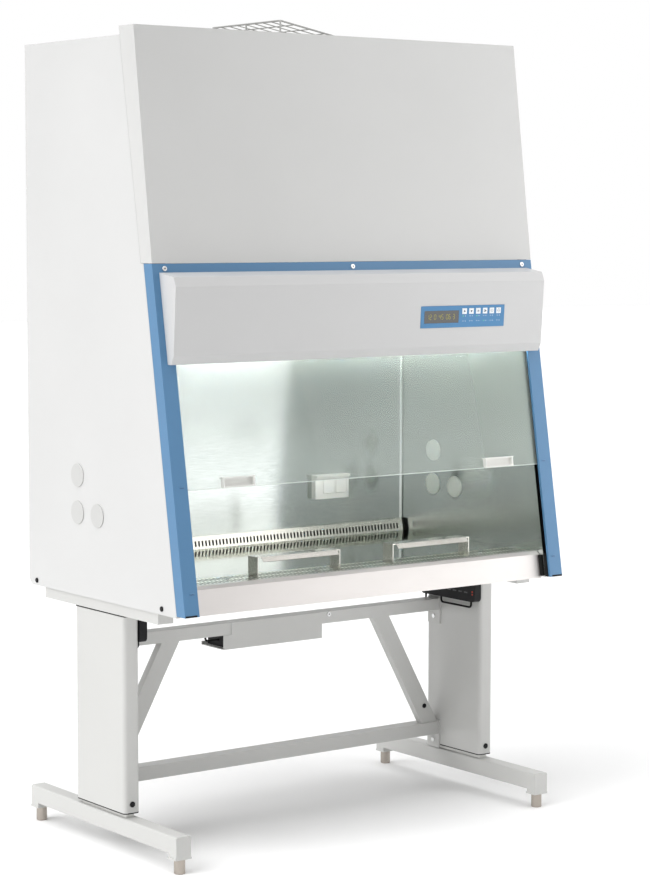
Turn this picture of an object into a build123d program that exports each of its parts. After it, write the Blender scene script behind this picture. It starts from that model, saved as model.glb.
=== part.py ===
"""Free-standing biosafety cabinet on a height-adjustable stand.

Frame: X to the operator's right, Y from front to back, Z up, millimetres.
Origin: on the floor, at the middle of the footprint.
The stand is at its lowest position and the sash at its working height.
Each function returns one sub-part; the table at the end writes one file for each.
"""

import os
from math import cos, hypot, radians, sin, tan

from build123d import *

os.makedirs("parts", exist_ok=True)

# ------------------------------------------------------------------ driving dimensions
# Cabinet shell
cab_width = 1300.0         # over the side panels
cab_depth = 800.0          # lower front edge to rear panel
base_z = 683.0             # underside of the cabinet, stand at its lowest
shell_height = 1479.0      # side panels
cap_height = 28.0          # folded top cap above the side panels
cover_rise = 23.0          # front cover above the top cap
sheet = 2.0                # painted sheet steel
rim = 12.0                 # folded edge of the panels
seam = 0.8                 # visible gap between neighbouring panels
rear_chamfer = 15.0        # lower rear corner of the side panels
rear_foot = 45.0           # rear panel's fold under the cabinet, from its back

# Leaning front
frame_lean = 9.45          # degrees, front frame and sash
cover_lean = 7.73          # degrees, upper front cover
frame_rise = 5.0           # front frame starts this far above the underside
cover_height = 567.0       # upper front cover, up to the top of the side panels
strip_width = 45.0         # upright strips of the front frame
strip_flange = 40.0        # how far the strips wrap round the sides
strip_return = 8.0         # their inner edge folded back towards the chamber
top_strip_height = 28.0
top_strip_return = 6.0
cover_flange = 53.0        # how far the cover wraps round the sides

# Work chamber
chamber_side = 50.0         # side panel's face to the chamber
chamber_rear = 115.0        # rear wall to the back of the cabinet
work_rise = 74.0           # work surface above the underside
air_height = 653.0         # filters and blowers, diffuser to the top of the cap
liner_sheet = 1.5          # stainless steel
cove_radius = 12.0
part_gap = 0.5             # between loose stainless parts
rest_gap = 0.3             # under parts that lift out
slot_width = 6.0
slot_pitch = 12.2
rear_band_height = 36.0
rear_band_depth = 24.0
rear_slot_height = 16.0
rear_slot_rise = 15.0      # middle of the slots above the work surface
rear_band_lean = 8.0       # band leans back towards its top
grille_front = 57.0        # front edge of the grille behind the front edge
grille_back = 173.5
grille_slot = 36.0
grille_rows = (95.0, 143.0)
rim_drop = 25.0            # folded rims of the grille and the work surface
pan_rise = 17.0            # drain pan floor above the underside
pan_ledge = 15.0
pan_rib = 20.0

# Sill below the access opening
sill_gap = 1.5             # to the chamber's walls
sill_sheet = 2.0
sill_face_bottom = 32.0    # face behind the front edge, at its foot
sill_face_top = 43.0
sill_face_height = 67.5
sill_nose = 54.0           # where the nose meets the flat top
sill_top_back = 72.0
sill_top_rise = 2.0        # above the work surface
sill_foot_back = 75.0

# Fascia with lamps and controls
fascia_side = 20.0         # fascia's ends short of the cabinet's sides
fascia_height = 237.0
fascia_drop = 23.0         # top of the fascia below the cover's lower edge
fascia_face_bottom = 82.0  # face behind the front edge
fascia_face_top = 67.0
fascia_face_top_drop = 12.0
fascia_wall = 2.5
bevel_face = 23.0          # bevels along its upper and lower front edges
bevel_depth = 12.0
lamp_radius = 13.0
lamp_end = 32.0            # lamps stop this far from the fascia's ends
lamp_holder = 6.0
lamp_places = ((108.0, 1507.0), (106.0, 1457.0))

# Control panel on the fascia
panel_side = 297.5         # middle of the panel to the fascia's end
panel_width = 303.0
panel_height = 61.0
panel_rise = 105.5         # and above the fascia's lower edge
panel_proud = 1.0
panel_flange = 5.0
panel_flange_thick = 4.0
window_width = 124.0
window_height = 35.0
window_left = 12.0         # from the panel's left edge
window_depth = 1.0
key_count = 6
key_width = 16.0
key_height = 16.0
key_pitch = 25.0
key_first = 156.0          # centre of the first key from the panel's left edge
key_drop = 16.0            # centre of the keys below the panel's top edge
key_proud = 1.0
key_length = 4.5
key_pocket = 5.0
key_gap = 0.3

# Sash, its guides, belts and counterweights
sash_opening = 254.0
sash_length = 690.0        # measured along the lean
glass_side = 32.0          # glass short of the cabinet's sides
glass_thick = 6.0
glass_depth = 10.0         # front of the glass behind the face of the front frame
run_gap = 0.3
guide_side = 16.0          # guides inside the cabinet's sides
guide_width = 26.5
guide_back = 24.0
guide_foot = 12.0          # above the foot of the front frame
guide_head = 77.0          # below the top of the side panels
grip_width = 100.0
grip_height = 28.0
grip_places = (-444.0, 454.0)
grip_out = 14.0
grip_wall = 4.0
grip_lip = 4.0             # upper edge of a grip past its ends
grip_lip_thick = 2.5
belt_side = 25.0           # belts inside the cabinet's sides
belt_width = 10.0
belt_thick = 2.0
pulley_radius = 20.0
pulley_width = 16.0
pulley_flange = 4.0
pulley_flange_thick = 1.5
pulley_depth = 62.0        # pulley centres behind the face of the front frame
pulley_foot = 397.0        # lower shoes above the foot of the front frame
pulley_head = 57.0         # pulleys below the top of the side panels
axle_radius = 5.0
axle_length = 38.0
bore_gap = 0.1
clamp_side = 20.0          # clamps inside the cabinet's sides
clamp_width = 40.0
clamp_length = 30.0
clamp_web = 14.0
weight_side = 4.0          # weights inside the cabinet's sides
weight_width = 40.0
weight_depth = 50.0
weight_length = 440.0
weight_drop = 489.0        # middle below the pulleys

# Air system above the chamber
liner_front_gap = 17.0     # side liners stop this far behind the front frame
liner_clamp_gap = 46.0     # and this far behind it where the sash clamps travel
liner_step_rise = 45.0     # step between them, above the fascia's lower edge
diffuser_front = 190.0
diffuser_slot = 40.0
diffuser_columns = 40
diffuser_rows = 8
filter_front = 205.0
filter_rear = 4.0          # filter before the chamber's rear wall
filter_side = 15.0         # filter inside the chamber's walls
filter_height = 91.5
filter_wall = 12.0
pleat_pitch = 24.0
plenum_height = 320.0
plenum_top_front = 255.0
scroll_x = -260.0
scroll_rear = 330.0        # middle from the back of the cabinet
scroll_radius = 150.0
scroll_half = 140.0
scroll_wall = 2.0
scroll_inlet = 95.0
drum_radius = 125.0
drum_half = 125.0
drum_ring = 20.0
drum_plate = 3.0
drum_blades = 24
shaft_radius = 8.0
bearing_bar = 24.0
fan_box_half = 170.0
fan_box_rear = 300.0       # middle from the back of the cabinet
fan_box_height = 110.0
fan_inlet = 90.0
fan_radius = 130.0
fan_height = 55.0
fan_blades = 12
fan_motor_radius = 35.0
exhaust_filter_half = 230.0
exhaust_filter_depth = 388.0
exhaust_filter_rear = 100.0

# Exhaust opening, its guard and the holes for a canopy
guard_left = -130.0
guard_width = 319.0
guard_rear = 158.0         # from the back of the cabinet
guard_depth = 333.0
guard_high = 65.0          # left edge above the cap
guard_low = 6.0            # right edge above the cap
guard_wire = 3.0
guard_edge = 5.0
guard_columns = 6
guard_rows = 8
exhaust_margin = 12.0
canopy_spacing_x = 520.0
canopy_spacing_y = 380.0
canopy_rear = 260.0        # from the back of the cabinet
canopy_hole = 3.5

# Service ports and socket outlet
port_radius = 25.0
port_flange = 32.0
port_proud = 3.0
port_spigot = 22.0
port_offsets = ((530.0, 257.0), (531.0, 154.5), (428.0, 154.5))
outlet_left = 255.0
outlet_width = 125.0
outlet_rise = 116.0        # above the work surface
outlet_height = 72.0
outlet_depth = 20.0
hood_depth = 8.0
hood_height = 8.0
flap_size = 43.0
flap_thick = 2.2
flap_insets = (29.0, 75.0)
flap_drop = 13.0           # below the top of the outlet box
socket_radius = 19.0
socket_depth = 12.0

# Armrests on the grille
armrest_length = 275.0
armrest_places = (-222.0, 236.0)
armrest_front = 90.0
armrest_depth = 45.0
armrest_height = 56.0
armrest_sheet = 2.0
armrest_lip = 11.5

# Stand
feet_overhang = 6.0        # foot beams reach this far behind the cabinet
foot_front = 52.0          # front end of the foot beams behind the front edge
leg_side = 2.0             # legs inside the cabinet's sides
leg_width = 50.0
beam_wall = 3.0
foot_beam_low = 52.0
foot_beam_height = 50.0
foot_beam_width = 46.0
foot_beam_corner = 5.0
foot_block = 36.0
foot_block_low = 45.0
foot_plate = 5.0
foot_plate_side = 2.0
foot_plate_length = 38.0
foot_radius = 15.0
foot_inset = 20.0
foot_stud = 6.0
foot_thread = 25.0
column_front = 303.0
column_depth = 251.0
column_rise = 14.0         # lifting column above the foot beam
column_corner = 12.0
inner_step = 10.0          # inner column smaller than the outer one on every side
inner_high = 560.0
wiper = 3.0
wiper_gap = 0.4
glide_low = 122.0
glide_height = 50.0
glide_width = 80.0
top_beam_side = 5.0        # beams inside the cabinet's sides
top_beam_width = 48.0
top_beam_height = 33.0
top_beam_front = 140.0
top_beam_rear = 83.0
top_pad = 3.0
end_cap = 3.0
cross_front = 490.0
cross_depth = 50.0
cross_upper_low = 530.5
cross_upper_height = 34.0
cross_lower_low = 148.0
cross_lower_height = 38.0
bracket_thick = 5.0
bracket_drop = 43.0
bracket_margin = 3.0
brace_reach = 254.0        # upper end of the braces from the legs
brace_inset = 65.0         # lower end of the braces from the legs
brace_width = 59.0
brace_front = 495.0
brace_depth = 25.0
tray_left = -199.0
tray_width = 348.0
tray_low = 489.0
tray_back = 602.0
tray_lip = 11.0
tray_step = 27.0           # hanging part starts this far from the tray's left edge
box_margin = 19.0
box_depth = 104.0
box_height = 36.0
housing_depth = 23.0
housing_front = 300.0
housing_length = 256.0
housing_low = 577.0
housing_corner = 14.0
cable_radius = 3.0
cable_run_z = 545.0        # behind the upper cross beam
cable_bend = 9.0
cable_loop = (330.0, 470.0)
cable_loop_drop = 18.0
cable_inset = 13.0         # cables from the legs
cable_clear = 26.0         # past the tray before it turns down
cable_end_z = 510.0

# Fasteners
bolt_head = 7.0
bolt_head_thick = 3.0
bolt_shank = 3.5
bolt_shank_length = 8.0
side_bolt_rear = 43.0      # from the back of the cabinet
side_bolt_front = 110.0    # from its front edge
side_bolt_rises = (14.0, 16.0)
fascia_screw_side = 37.0   # from the cabinet's sides
fascia_screw_drop = 13.0   # below the cover's lower edge
column_plug_radius = 7.0
column_plug_z = 139.0
brace_bolt_inset = 57.0    # from the legs
brace_bolt_z = 240.0
beam_bolt_x = 175.0
beam_bolt_z = 557.0
grille_screw_places = (-440.0, -145.0, 145.0, 440.0)
grille_screw_y = 119.0

# ------------------------------------------------------------------ derived places
half_width = cab_width / 2
front_y = -(cab_depth + feet_overhang) / 2
rear_y = front_y + cab_depth
frame_z = base_z + frame_rise
side_top_z = base_z + shell_height
kink_z = side_top_z - cover_height
cap_top_z = side_top_z + cap_height
cover_top_z = cap_top_z + cover_rise
strip_inner = half_width - strip_width
chamber_half = half_width - chamber_side
chamber_back = cab_depth - chamber_rear
chamber_y = front_y + chamber_back
work_z = base_z + work_rise
ceiling_z = cap_top_z - air_height
floor_z = base_z + 2 * sheet               # top of the base panel
pan_z = base_z + pan_rise
ledge_z = work_z - rim_drop - rest_gap     # ledge that carries the loose parts
filter_z = ceiling_z + liner_sheet
filter_top_z = filter_z + filter_height
lean = radians(frame_lean)
guide_slot_front = glass_depth - run_gap
guide_slot_back = glass_depth + glass_thick + run_gap

sill_half = chamber_half - sill_gap
fascia_half = half_width - fascia_side
fascia_top_z = kink_z - fascia_drop
fascia_bottom_z = fascia_top_z - fascia_height
fascia_screw_z = kink_z - fascia_screw_drop
fascia_screw_x = half_width - fascia_screw_side
fascia_screw_places = (-fascia_screw_x, 0.0, fascia_screw_x)
lamp_half = fascia_half - lamp_end
panel_x = fascia_half - panel_side
panel_z = fascia_bottom_z + panel_rise

glass_half = half_width - glass_side
guide_outer = half_width - guide_side
guide_inner = guide_outer - guide_width
guide_bottom_z = frame_z + guide_foot
guide_top_z = side_top_z - guide_head
belt_x = half_width - belt_side
pulley_low_z = frame_z + pulley_foot
pulley_high_z = side_top_z - pulley_head
axle_inner = half_width - sheet - axle_length
clamp_outer = half_width - clamp_side
clamp_inner = clamp_outer - clamp_width
weight_outer = half_width - weight_side
weight_inner = weight_outer - weight_width
weight_z = pulley_high_z - weight_drop

filter_back = chamber_back - filter_rear
filter_half = chamber_half - filter_side
plenum_top_z = filter_top_z + plenum_height
scroll_y = cab_depth - scroll_rear
fan_box_y = cab_depth - fan_box_rear
exhaust_filter_back = cab_depth - exhaust_filter_rear
exhaust_filter_front = exhaust_filter_back - exhaust_filter_depth
guard_right = guard_left + guard_width
guard_back = cab_depth - guard_rear
guard_front = guard_back - guard_depth
canopy_y = cab_depth - canopy_rear
port_places = [(y, work_z + rise) for y, rise in port_offsets]
outlet_right = outlet_left + outlet_width
outlet_low_z = work_z + outlet_rise
outlet_high_z = outlet_low_z + outlet_height
flap_top_z = outlet_high_z - flap_drop
flap_places = [outlet_left + inset for inset in flap_insets]

leg_outer = half_width - leg_side
leg_inner = leg_outer - leg_width
foot_beam_high = foot_beam_low + foot_beam_height
column_back = column_front + column_depth
column_low = foot_beam_high + column_rise
column_high = base_z - top_beam_height
top_beam_outer = half_width - top_beam_side
top_beam_inner = top_beam_outer - top_beam_width
top_beam_back = cab_depth - top_beam_rear
cross_back = cross_front + cross_depth
cross_upper_high = cross_upper_low + cross_upper_height
cross_lower_high = cross_lower_low + cross_lower_height
brace_top = leg_inner - brace_reach
brace_foot = leg_inner - brace_inset
brace_back = brace_front + brace_depth
brace_bolt_x = leg_inner - brace_bolt_inset
tray_right = tray_left + tray_width
housing_back = housing_front + housing_length
cable_x = leg_inner - cable_inset
side_bolt_depths = (cab_depth - side_bolt_rear, side_bolt_front)
side_bolt_places = [(y, base_z + rise) for y, rise in zip(side_bolt_depths, side_bolt_rises)]

lean_plane = Plane(
    origin=(0, front_y, frame_z),
    x_dir=(1, 0, 0),
    z_dir=(0, -cos(lean), sin(lean)),
)


def lean_y(z):
    """Face of the front frame at height z."""
    return front_y + (z - frame_z) * tan(lean)


def cover_y(z):
    """Face of the upper front cover at height z."""
    return lean_y(kink_z) + (z - kink_z) * tan(radians(cover_lean))


def slope(z):
    """Distance along the lean from the foot of the front frame to height z."""
    return (z - frame_z) / cos(lean)


# ------------------------------------------------------------------ helpers
def block(x0, x1, y0, y1, z0, z1):
    """Box between two corners."""
    middle = Pos((x0 + x1) / 2, (y0 + y1) / 2, (z0 + z1) / 2)
    return middle * Box(x1 - x0, y1 - y0, z1 - z0)


def lean_block(x0, x1, along0, along1, depth0, depth1):
    """Box in the leaning frame: distance up the lean and depth behind its face."""
    return lean_plane * block(x0, x1, along0, along1, -depth1, -depth0)


def rod_x(x0, x1, y, z, radius):
    return Pos((x0 + x1) / 2, y, z) * Rot(0, 90, 0) * Cylinder(radius, x1 - x0)


def rod_y(x, y0, y1, z, radius):
    return Pos(x, (y0 + y1) / 2, z) * Rot(90, 0, 0) * Cylinder(radius, y1 - y0)


def rod_z(x, y, z0, z1, radius):
    return Pos(x, y, (z0 + z1) / 2) * Cylinder(radius, z1 - z0)


def slab(points, x0, x1):
    """Side view outline, given as (y, z) points, extruded from x0 to x1."""
    outline = Plane.YZ.offset(x0) * make_face(Polyline(*points, close=True))
    return extrude(outline, amount=x1 - x0)


def inset(points, amount):
    """Closed outline moved inwards on every side, as a face in the side view."""
    return offset(make_face(Polyline(*points, close=True)), -amount, kind=Kind.INTERSECTION)


def folded(points, thickness):
    """Outline of a folded sheet whose body lies to the right of the given path."""
    normals = []
    for (y0, z0), (y1, z1) in zip(points, points[1:]):
        length = hypot(y1 - y0, z1 - z0)
        normals.append(((z1 - z0) / length, -(y1 - y0) / length))
    before = [normals[0]] + normals
    after = normals + [normals[-1]]
    inner = []
    for (y, z), (ay, az), (by, bz) in zip(points, before, after):
        mitre = thickness / (1 + ay * by + az * bz)
        inner.append((y + (ay + by) * mitre, z + (az + bz) * mitre))
    return list(points) + inner[::-1]


def tube(x0, x1, y0, y1, z0, z1, wall, axis):
    """Rectangular tube, open at both ends along the axis."""
    reach = {Axis.X: (1, 0, 0), Axis.Y: (0, 1, 0), Axis.Z: (0, 0, 1)}[axis]
    cx, cy, cz = (wall * (2 * r - 1) for r in reach)
    return block(x0, x1, y0, y1, z0, z1) - block(
        x0 - cx, x1 + cx, y0 - cy, y1 + cy, z0 - cz, z1 + cz
    )


def both_sides(*shapes):
    """Right-hand shapes and their mirror images on the left."""
    return list(shapes) + [mirror(shape, about=Plane.YZ) for shape in shapes]


def bolt(x, y, z, rotation, shank=True):
    """Round-headed screw whose head stands on the given point."""
    screw = Pos(0, 0, bolt_head_thick / 2) * Cylinder(bolt_head, bolt_head_thick)
    screw = fillet(screw.edges().group_by(Axis.Z)[-1], bolt_head_thick * 0.45)
    if shank:
        screw += Pos(0, 0, -bolt_shank_length / 2) * Cylinder(bolt_shank, bolt_shank_length)
    return Pos(x, y, z) * rotation * screw


to_front = Rot(90, 0, 0)
to_right = Rot(0, 90, 0)
to_left = Rot(0, -90, 0)


def bolt_hole(x, y, z, rotation):
    """Clearance for a screw's shank."""
    return Pos(x, y, z) * rotation * Cylinder(bolt_shank + bore_gap, 2 * bolt_shank_length + 4)


# ------------------------------------------------------------------ stand, standing part
def foot_stations():
    """Levelling feet: side, end, x and y."""
    x = (leg_inner + leg_outer) / 2
    front = front_y + foot_front + foot_inset
    back = rear_y + feet_overhang - foot_inset + 4
    return {
        "front_left": (-x, front),
        "front_right": (x, front),
        "rear_left": (-x, back),
        "rear_right": (x, back),
    }


def foot_beam():
    """Rounded tube with solid ends that carry the levelling feet."""
    y0 = front_y + foot_front
    y1 = rear_y + feet_overhang
    x = (leg_inner + leg_outer) / 2
    half = foot_beam_width / 2
    middle_z = (foot_beam_low + foot_beam_high) / 2
    outline = RectangleRounded(foot_beam_width, foot_beam_height, foot_beam_corner)
    hollow = offset(outline, -beam_wall, kind=Kind.INTERSECTION)
    front = Plane(origin=(x, y0, middle_z), x_dir=(1, 0, 0), z_dir=(0, 1, 0))
    beam = extrude(front * outline, amount=y1 - y0)
    beam -= extrude(front.offset(foot_block) * hollow, amount=y1 - y0 - 2 * foot_block)
    for low, high in ((y0, y0 + foot_block), (y1 - foot_block, y1)):
        beam += block(x - half, x + half, low, high, foot_block_low, middle_z)
    plate = half + foot_plate_side
    for low, high in ((y0, y0 + foot_plate_length), (y1 - foot_plate_length, y1)):
        beam += block(
            x - plate, x + plate, low, high, foot_block_low - foot_plate, foot_block_low
        )
    for x, y in foot_stations().values():
        if x > 0:
            top = foot_block_low - foot_plate + foot_thread + 1
            beam -= rod_z(x, y, 0, top, foot_stud + bore_gap)
    return beam


def levelling_foot(x, y):
    top = foot_block_low - foot_plate - rest_gap
    pad = rod_z(x, y, 0, top, foot_radius)
    pad = chamfer(pad.edges().group_by(Axis.Z)[0], 1.5)
    return pad + rod_z(x, y, top, top + foot_thread, foot_stud)


def upright_bar(x0, x1, y0, y1, z0, z1, corner):
    """Solid bar with rounded upright edges."""
    bar = block(x0, x1, y0, y1, z0, z1)
    return fillet(bar.edges().filter_by(Axis.Z), corner)


def upright_tube(x0, x1, y0, y1, z0, z1, corner):
    """Rectangular tube with rounded upright edges."""
    wall = beam_wall
    hollow = upright_bar(
        x0 + wall, x1 - wall, y0 + wall, y1 - wall, z0 - 1, z1 + 1, corner - wall
    )
    return upright_bar(x0, x1, y0, y1, z0, z1, corner) - hollow


def inner_column():
    x0, x1 = leg_inner + inner_step, leg_outer - inner_step
    y0, y1 = front_y + column_front + inner_step, front_y + column_back - inner_step
    corner = column_corner - inner_step / 2
    column = upright_tube(x0, x1, y0, y1, foot_beam_high, inner_high - beam_wall, corner)
    return column + upright_bar(x0, x1, y0, y1, inner_high - beam_wall, inner_high, corner)


# ------------------------------------------------------------------ stand, lifting part
def outer_column():
    y0, y1 = front_y + column_front, front_y + column_back
    column = upright_tube(
        leg_inner, leg_outer, y0, y1, column_low, column_high, column_corner
    )
    for y, z in bracket_bolt_places():
        column -= bolt_hole(leg_inner, y, z, to_left)
    x = (leg_inner + leg_outer) / 2
    return column - rod_y(x, y0 - 1, y0 + beam_wall + 1, column_plug_z, column_plug_radius)


def column_seals():
    """Wiper below, glide pads inside and pad above each lifting column."""
    y0, y1 = front_y + column_front, front_y + column_back
    gap = inner_step - wiper_gap
    ring = upright_bar(
        leg_inner, leg_outer, y0, y1, column_low - wiper, column_low, column_corner
    )
    ring -= upright_bar(
        leg_inner + gap, leg_outer - gap, y0 + gap, y1 - gap,
        column_low - wiper - 1, column_low + 1, column_corner - inner_step / 2,
    )
    middle_y = (y0 + y1) / 2
    low, high = glide_low, glide_low + glide_height
    reach = inner_step - run_gap
    left_pad = block(
        leg_inner + beam_wall, leg_inner + reach,
        middle_y - glide_width / 2, middle_y + glide_width / 2, low, high,
    )
    right_pad = left_pad.moved(Location((leg_outer - leg_inner - beam_wall - reach, 0, 0)))
    x = (leg_inner + leg_outer) / 2
    front_pad = block(x - beam_wall, x + beam_wall, y0 + beam_wall, y0 + reach, low, high)
    back_pad = block(x - beam_wall, x + beam_wall, y1 - reach, y1 - beam_wall, low, high)
    pad = block(leg_inner, top_beam_outer, y0, y1, column_high, column_high + top_pad)
    return both_sides(ring, left_pad, right_pad, front_pad, back_pad, pad)


def top_beam():
    """Beam under the cabinet and its end caps."""
    low = column_high + top_pad
    y0, y1 = front_y + top_beam_front, front_y + top_beam_back
    parts = [tube(top_beam_inner, top_beam_outer, y0, y1, low, base_z, beam_wall, Axis.Y)]
    for y in (y0 - end_cap, y1):
        parts.append(block(top_beam_inner, top_beam_outer, y, y + end_cap, low, base_z))
    return parts


def plastic_plugs():
    """Column plugs and the inserts of the front strips."""
    x = (leg_inner + leg_outer) / 2
    y = front_y + column_front
    plug = rod_y(x, y - 1.5, y, column_plug_z, column_plug_radius + 1)
    plug += rod_y(x, y, y + beam_wall, column_plug_z, column_plug_radius)
    return both_sides(plug, strip_insert())


def strip_insert():
    """Black block in the open foot of an upright front strip."""
    wall = sheet / cos(lean)
    front = wall + guide_back + run_gap
    points = [
        (lean_y(frame_z) + front, frame_z),
        (lean_y(frame_z) + strip_flange, frame_z),
        (lean_y(frame_z + strip_flange) + strip_flange, frame_z + strip_flange),
        (lean_y(frame_z + strip_flange) + front, frame_z + strip_flange),
    ]
    top = guide_bottom_z - guide_back * sin(lean) - run_gap
    foot = [
        (lean_y(frame_z) + wall, frame_z),
        (lean_y(frame_z) + strip_flange, frame_z),
        (lean_y(top) + strip_flange, top),
        (lean_y(top) + wall, top),
    ]
    outer = half_width - sheet
    insert = slab(points, guide_outer + 1, outer)
    insert += slab(foot, strip_inner + sheet + part_gap, outer)
    behind = strip_return + part_gap
    filler_top = work_z - 2 * sheet
    filler = [
        (lean_y(frame_z) + behind, frame_z),
        (lean_y(frame_z) + guide_back, frame_z),
        (lean_y(filler_top) + guide_back, filler_top),
        (lean_y(filler_top) + behind, filler_top),
    ]
    inner = chamber_half + liner_sheet + part_gap
    filled = slab(filler, inner, strip_inner)
    root = [
        (lean_y(frame_z) + behind, frame_z),
        (lean_y(frame_z) + guide_back, frame_z),
        (lean_y(top) + guide_back, top),
        (lean_y(top) + behind, top),
    ]
    return insert + filled + slab(root, inner, outer)


def cross_beam(low, high):
    reach = leg_inner - bracket_thick
    return tube(
        -reach, reach, front_y + cross_front, front_y + cross_back, low, high, beam_wall, Axis.X
    )


def bracket_bolt_places():
    """Bolts through the brackets into the columns: y and z."""
    y = front_y + (cross_front + cross_back) / 2
    return [(y, low - bracket_drop / 2) for low in (cross_upper_low, cross_lower_low)]


def braces():
    """Diagonal braces between the cross beams, and the bracket plates at their ends."""
    outline = [
        (brace_top, cross_upper_low), (brace_top + brace_width, cross_upper_low),
        (brace_foot + brace_width, cross_lower_high), (brace_foot, cross_lower_high),
    ]
    front = Plane.XZ.offset(-(front_y + brace_front))
    face = front * make_face(Polyline(*outline, close=True))
    bar = extrude(face, amount=-(brace_back - brace_front))
    bar -= bolt_hole(brace_bolt_x, front_y + brace_front, brace_bolt_z, to_front)
    parts = [bar]
    for low, high in (
        (cross_upper_low, cross_upper_high), (cross_lower_low, cross_lower_high)
    ):
        plate = block(
            leg_inner - bracket_thick, leg_inner,
            front_y + cross_front - bracket_margin, front_y + cross_back + bracket_margin,
            low - bracket_drop, high + bracket_margin,
        )
        for y, z in bracket_bolt_places():
            plate -= bolt_hole(leg_inner, y, z, to_left)
        parts.append(plate)
    return both_sides(*parts)


def control_tray():
    """Folded tray that hangs on the upper cross beam."""
    back, front = front_y + tray_back, front_y + cross_front - sheet
    path = [
        (back, tray_low + tray_lip), (back, tray_low), (front, tray_low), (front, cross_upper_low)
    ]
    tray = slab(folded(path, sheet), tray_left, tray_right)
    return tray + block(
        tray_left + tray_step, tray_right, front, front + sheet, cross_upper_low, cross_upper_high
    )


def lift_control_box():
    y0 = front_y + cross_front + box_margin / 4
    box = block(
        tray_left + box_margin, tray_right - box_margin,
        y0, y0 + box_depth, tray_low + sheet, tray_low + sheet + box_height,
    )
    return fillet(box.edges().filter_by(Axis.Z), 3)


def motor_housing():
    box = block(
        leg_inner - housing_depth, leg_inner,
        front_y + housing_front, front_y + housing_back, housing_low, column_high,
    )
    lower = box.edges().filter_by(Axis.X).group_by(Axis.Z)[0]
    return fillet(lower, housing_corner)


def cable_along(route):
    path = FilletPolyline(*route, radius=cable_bend)
    section = Plane(origin=route[0], z_dir=(0, 0, -1)) * Circle(cable_radius)
    return sweep(section, path)


def motor_cable(side):
    """Motor lead behind the upper cross beam and down into the control box."""
    edge = tray_right if side > 0 else -tray_left
    y = front_y + cross_back + cable_radius + rest_gap
    return cable_along([
        (side * cable_x, y, housing_low),
        (side * cable_x, y, cable_run_z),
        (side * (edge + cable_clear), y, cable_run_z),
        (side * (edge + cable_clear), y, cable_end_z),
        (side * (edge - box_margin), y, cable_end_z),
    ])


def cable_slack(side):
    """Loop of spare lead under a motor housing."""
    x = side * cable_x
    start, end = (front_y + y for y in cable_loop)
    low = housing_low - cable_loop_drop
    return cable_along([
        (x, start, housing_low), (x, start, low), (x, end, low), (x, end, housing_low)
    ])


# ------------------------------------------------------------------ cabinet shell
def side_outline():
    lower = strip_flange + seam
    upper = cover_flange + seam
    return [
        (lean_y(base_z) + lower, base_z),
        (rear_y - rear_chamfer, base_z),
        (rear_y, base_z + rear_chamfer),
        (rear_y, side_top_z),
        (lean_y(side_top_z) + upper, side_top_z),
        (lean_y(kink_z) + upper, kink_z),
        (lean_y(kink_z) + lower, kink_z),
    ]


def side_panel():
    outline = side_outline()
    panel = slab(outline, half_width - rim, half_width)
    hollow = Plane.YZ.offset(half_width - rim - 1) * inset(outline, sheet)
    panel -= extrude(hollow, amount=rim + 1 - sheet)
    for y, z in port_places:
        panel -= rod_x(half_width - rim, half_width + 1, front_y + y, z, port_radius)
    for y, z in side_bolt_places:
        panel -= bolt_hole(half_width, front_y + y, z, to_right)
    return panel


def base_panel():
    y0 = lean_y(base_z) + strip_flange + seam + 2 * sheet
    inside = half_width - sheet - part_gap / 2
    low = base_z + sheet
    panel = block(-inside, inside, y0, rear_y - rear_foot, low, low + sheet)
    return panel + block(-chamber_half, chamber_half, y0, y0 + sheet, low, low + pan_rise)


def rear_panel():
    """Rear sheet inside the rims of the side panels, folded under to the base panel."""
    inside = half_width - sheet - part_gap / 2
    corner = sheet * tan(radians(22.5))
    path = [
        (rear_y - sheet, side_top_z - sheet),
        (rear_y - sheet, base_z + rear_chamfer + corner),
        (rear_y - rear_chamfer - corner, base_z + sheet),
        (rear_y - rear_foot, base_z + sheet),
    ]
    return slab(folded(path, sheet), -inside, inside)


def top_cap():
    outline = [
        (lean_y(side_top_z) + cover_flange + seam, side_top_z),
        (rear_y, side_top_z),
        (rear_y, cap_top_z),
        (lean_y(cap_top_z) + cover_flange + seam, cap_top_z),
    ]
    cap = slab(outline, -half_width, half_width)
    inside = half_width - sheet
    cap -= block(
        -inside, inside, front_y, rear_y - sheet, side_top_z - 1, cap_top_z - sheet
    )
    tongue_y = lean_y(cap_top_z) + cover_flange - 25
    narrow = inside - part_gap
    cap += block(
        -narrow, narrow, tongue_y, rear_y - sheet, cap_top_z - sheet, cap_top_z
    )
    cap -= block(
        guard_left + exhaust_margin, guard_right - exhaust_margin,
        front_y + guard_front + exhaust_margin, front_y + guard_back - exhaust_margin,
        cap_top_z - 2 * sheet, cap_top_z + 1,
    )
    for x in (-canopy_spacing_x / 2, canopy_spacing_x / 2):
        for y in (-canopy_spacing_y / 2, canopy_spacing_y / 2):
            cap -= rod_z(x, front_y + canopy_y + y, side_top_z, cap_top_z + 1, canopy_hole)
    return cap


def front_cover():
    low = kink_z + seam
    back_low = lean_y(low) + cover_flange
    back_top = lean_y(cover_top_z) + cover_flange
    outer = [
        (cover_y(low), low), (cover_y(cover_top_z), cover_top_z),
        (back_top, cover_top_z), (back_low, low),
    ]
    wall = sheet / cos(radians(cover_lean))
    inner_top = cover_top_z - sheet
    inner = [
        (cover_y(low - 10) + wall, low - 10), (cover_y(inner_top) + wall, inner_top),
        (back_top + cover_flange, inner_top), (back_low + cover_flange, low - 10),
    ]
    inside = half_width - sheet
    cover = slab(outer, -half_width, half_width) - slab(inner, -inside, inside)
    lip = block(-inside, inside, back_top - sheet, back_top, cap_top_z, cover_top_z - sheet)
    return cover + lip


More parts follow.
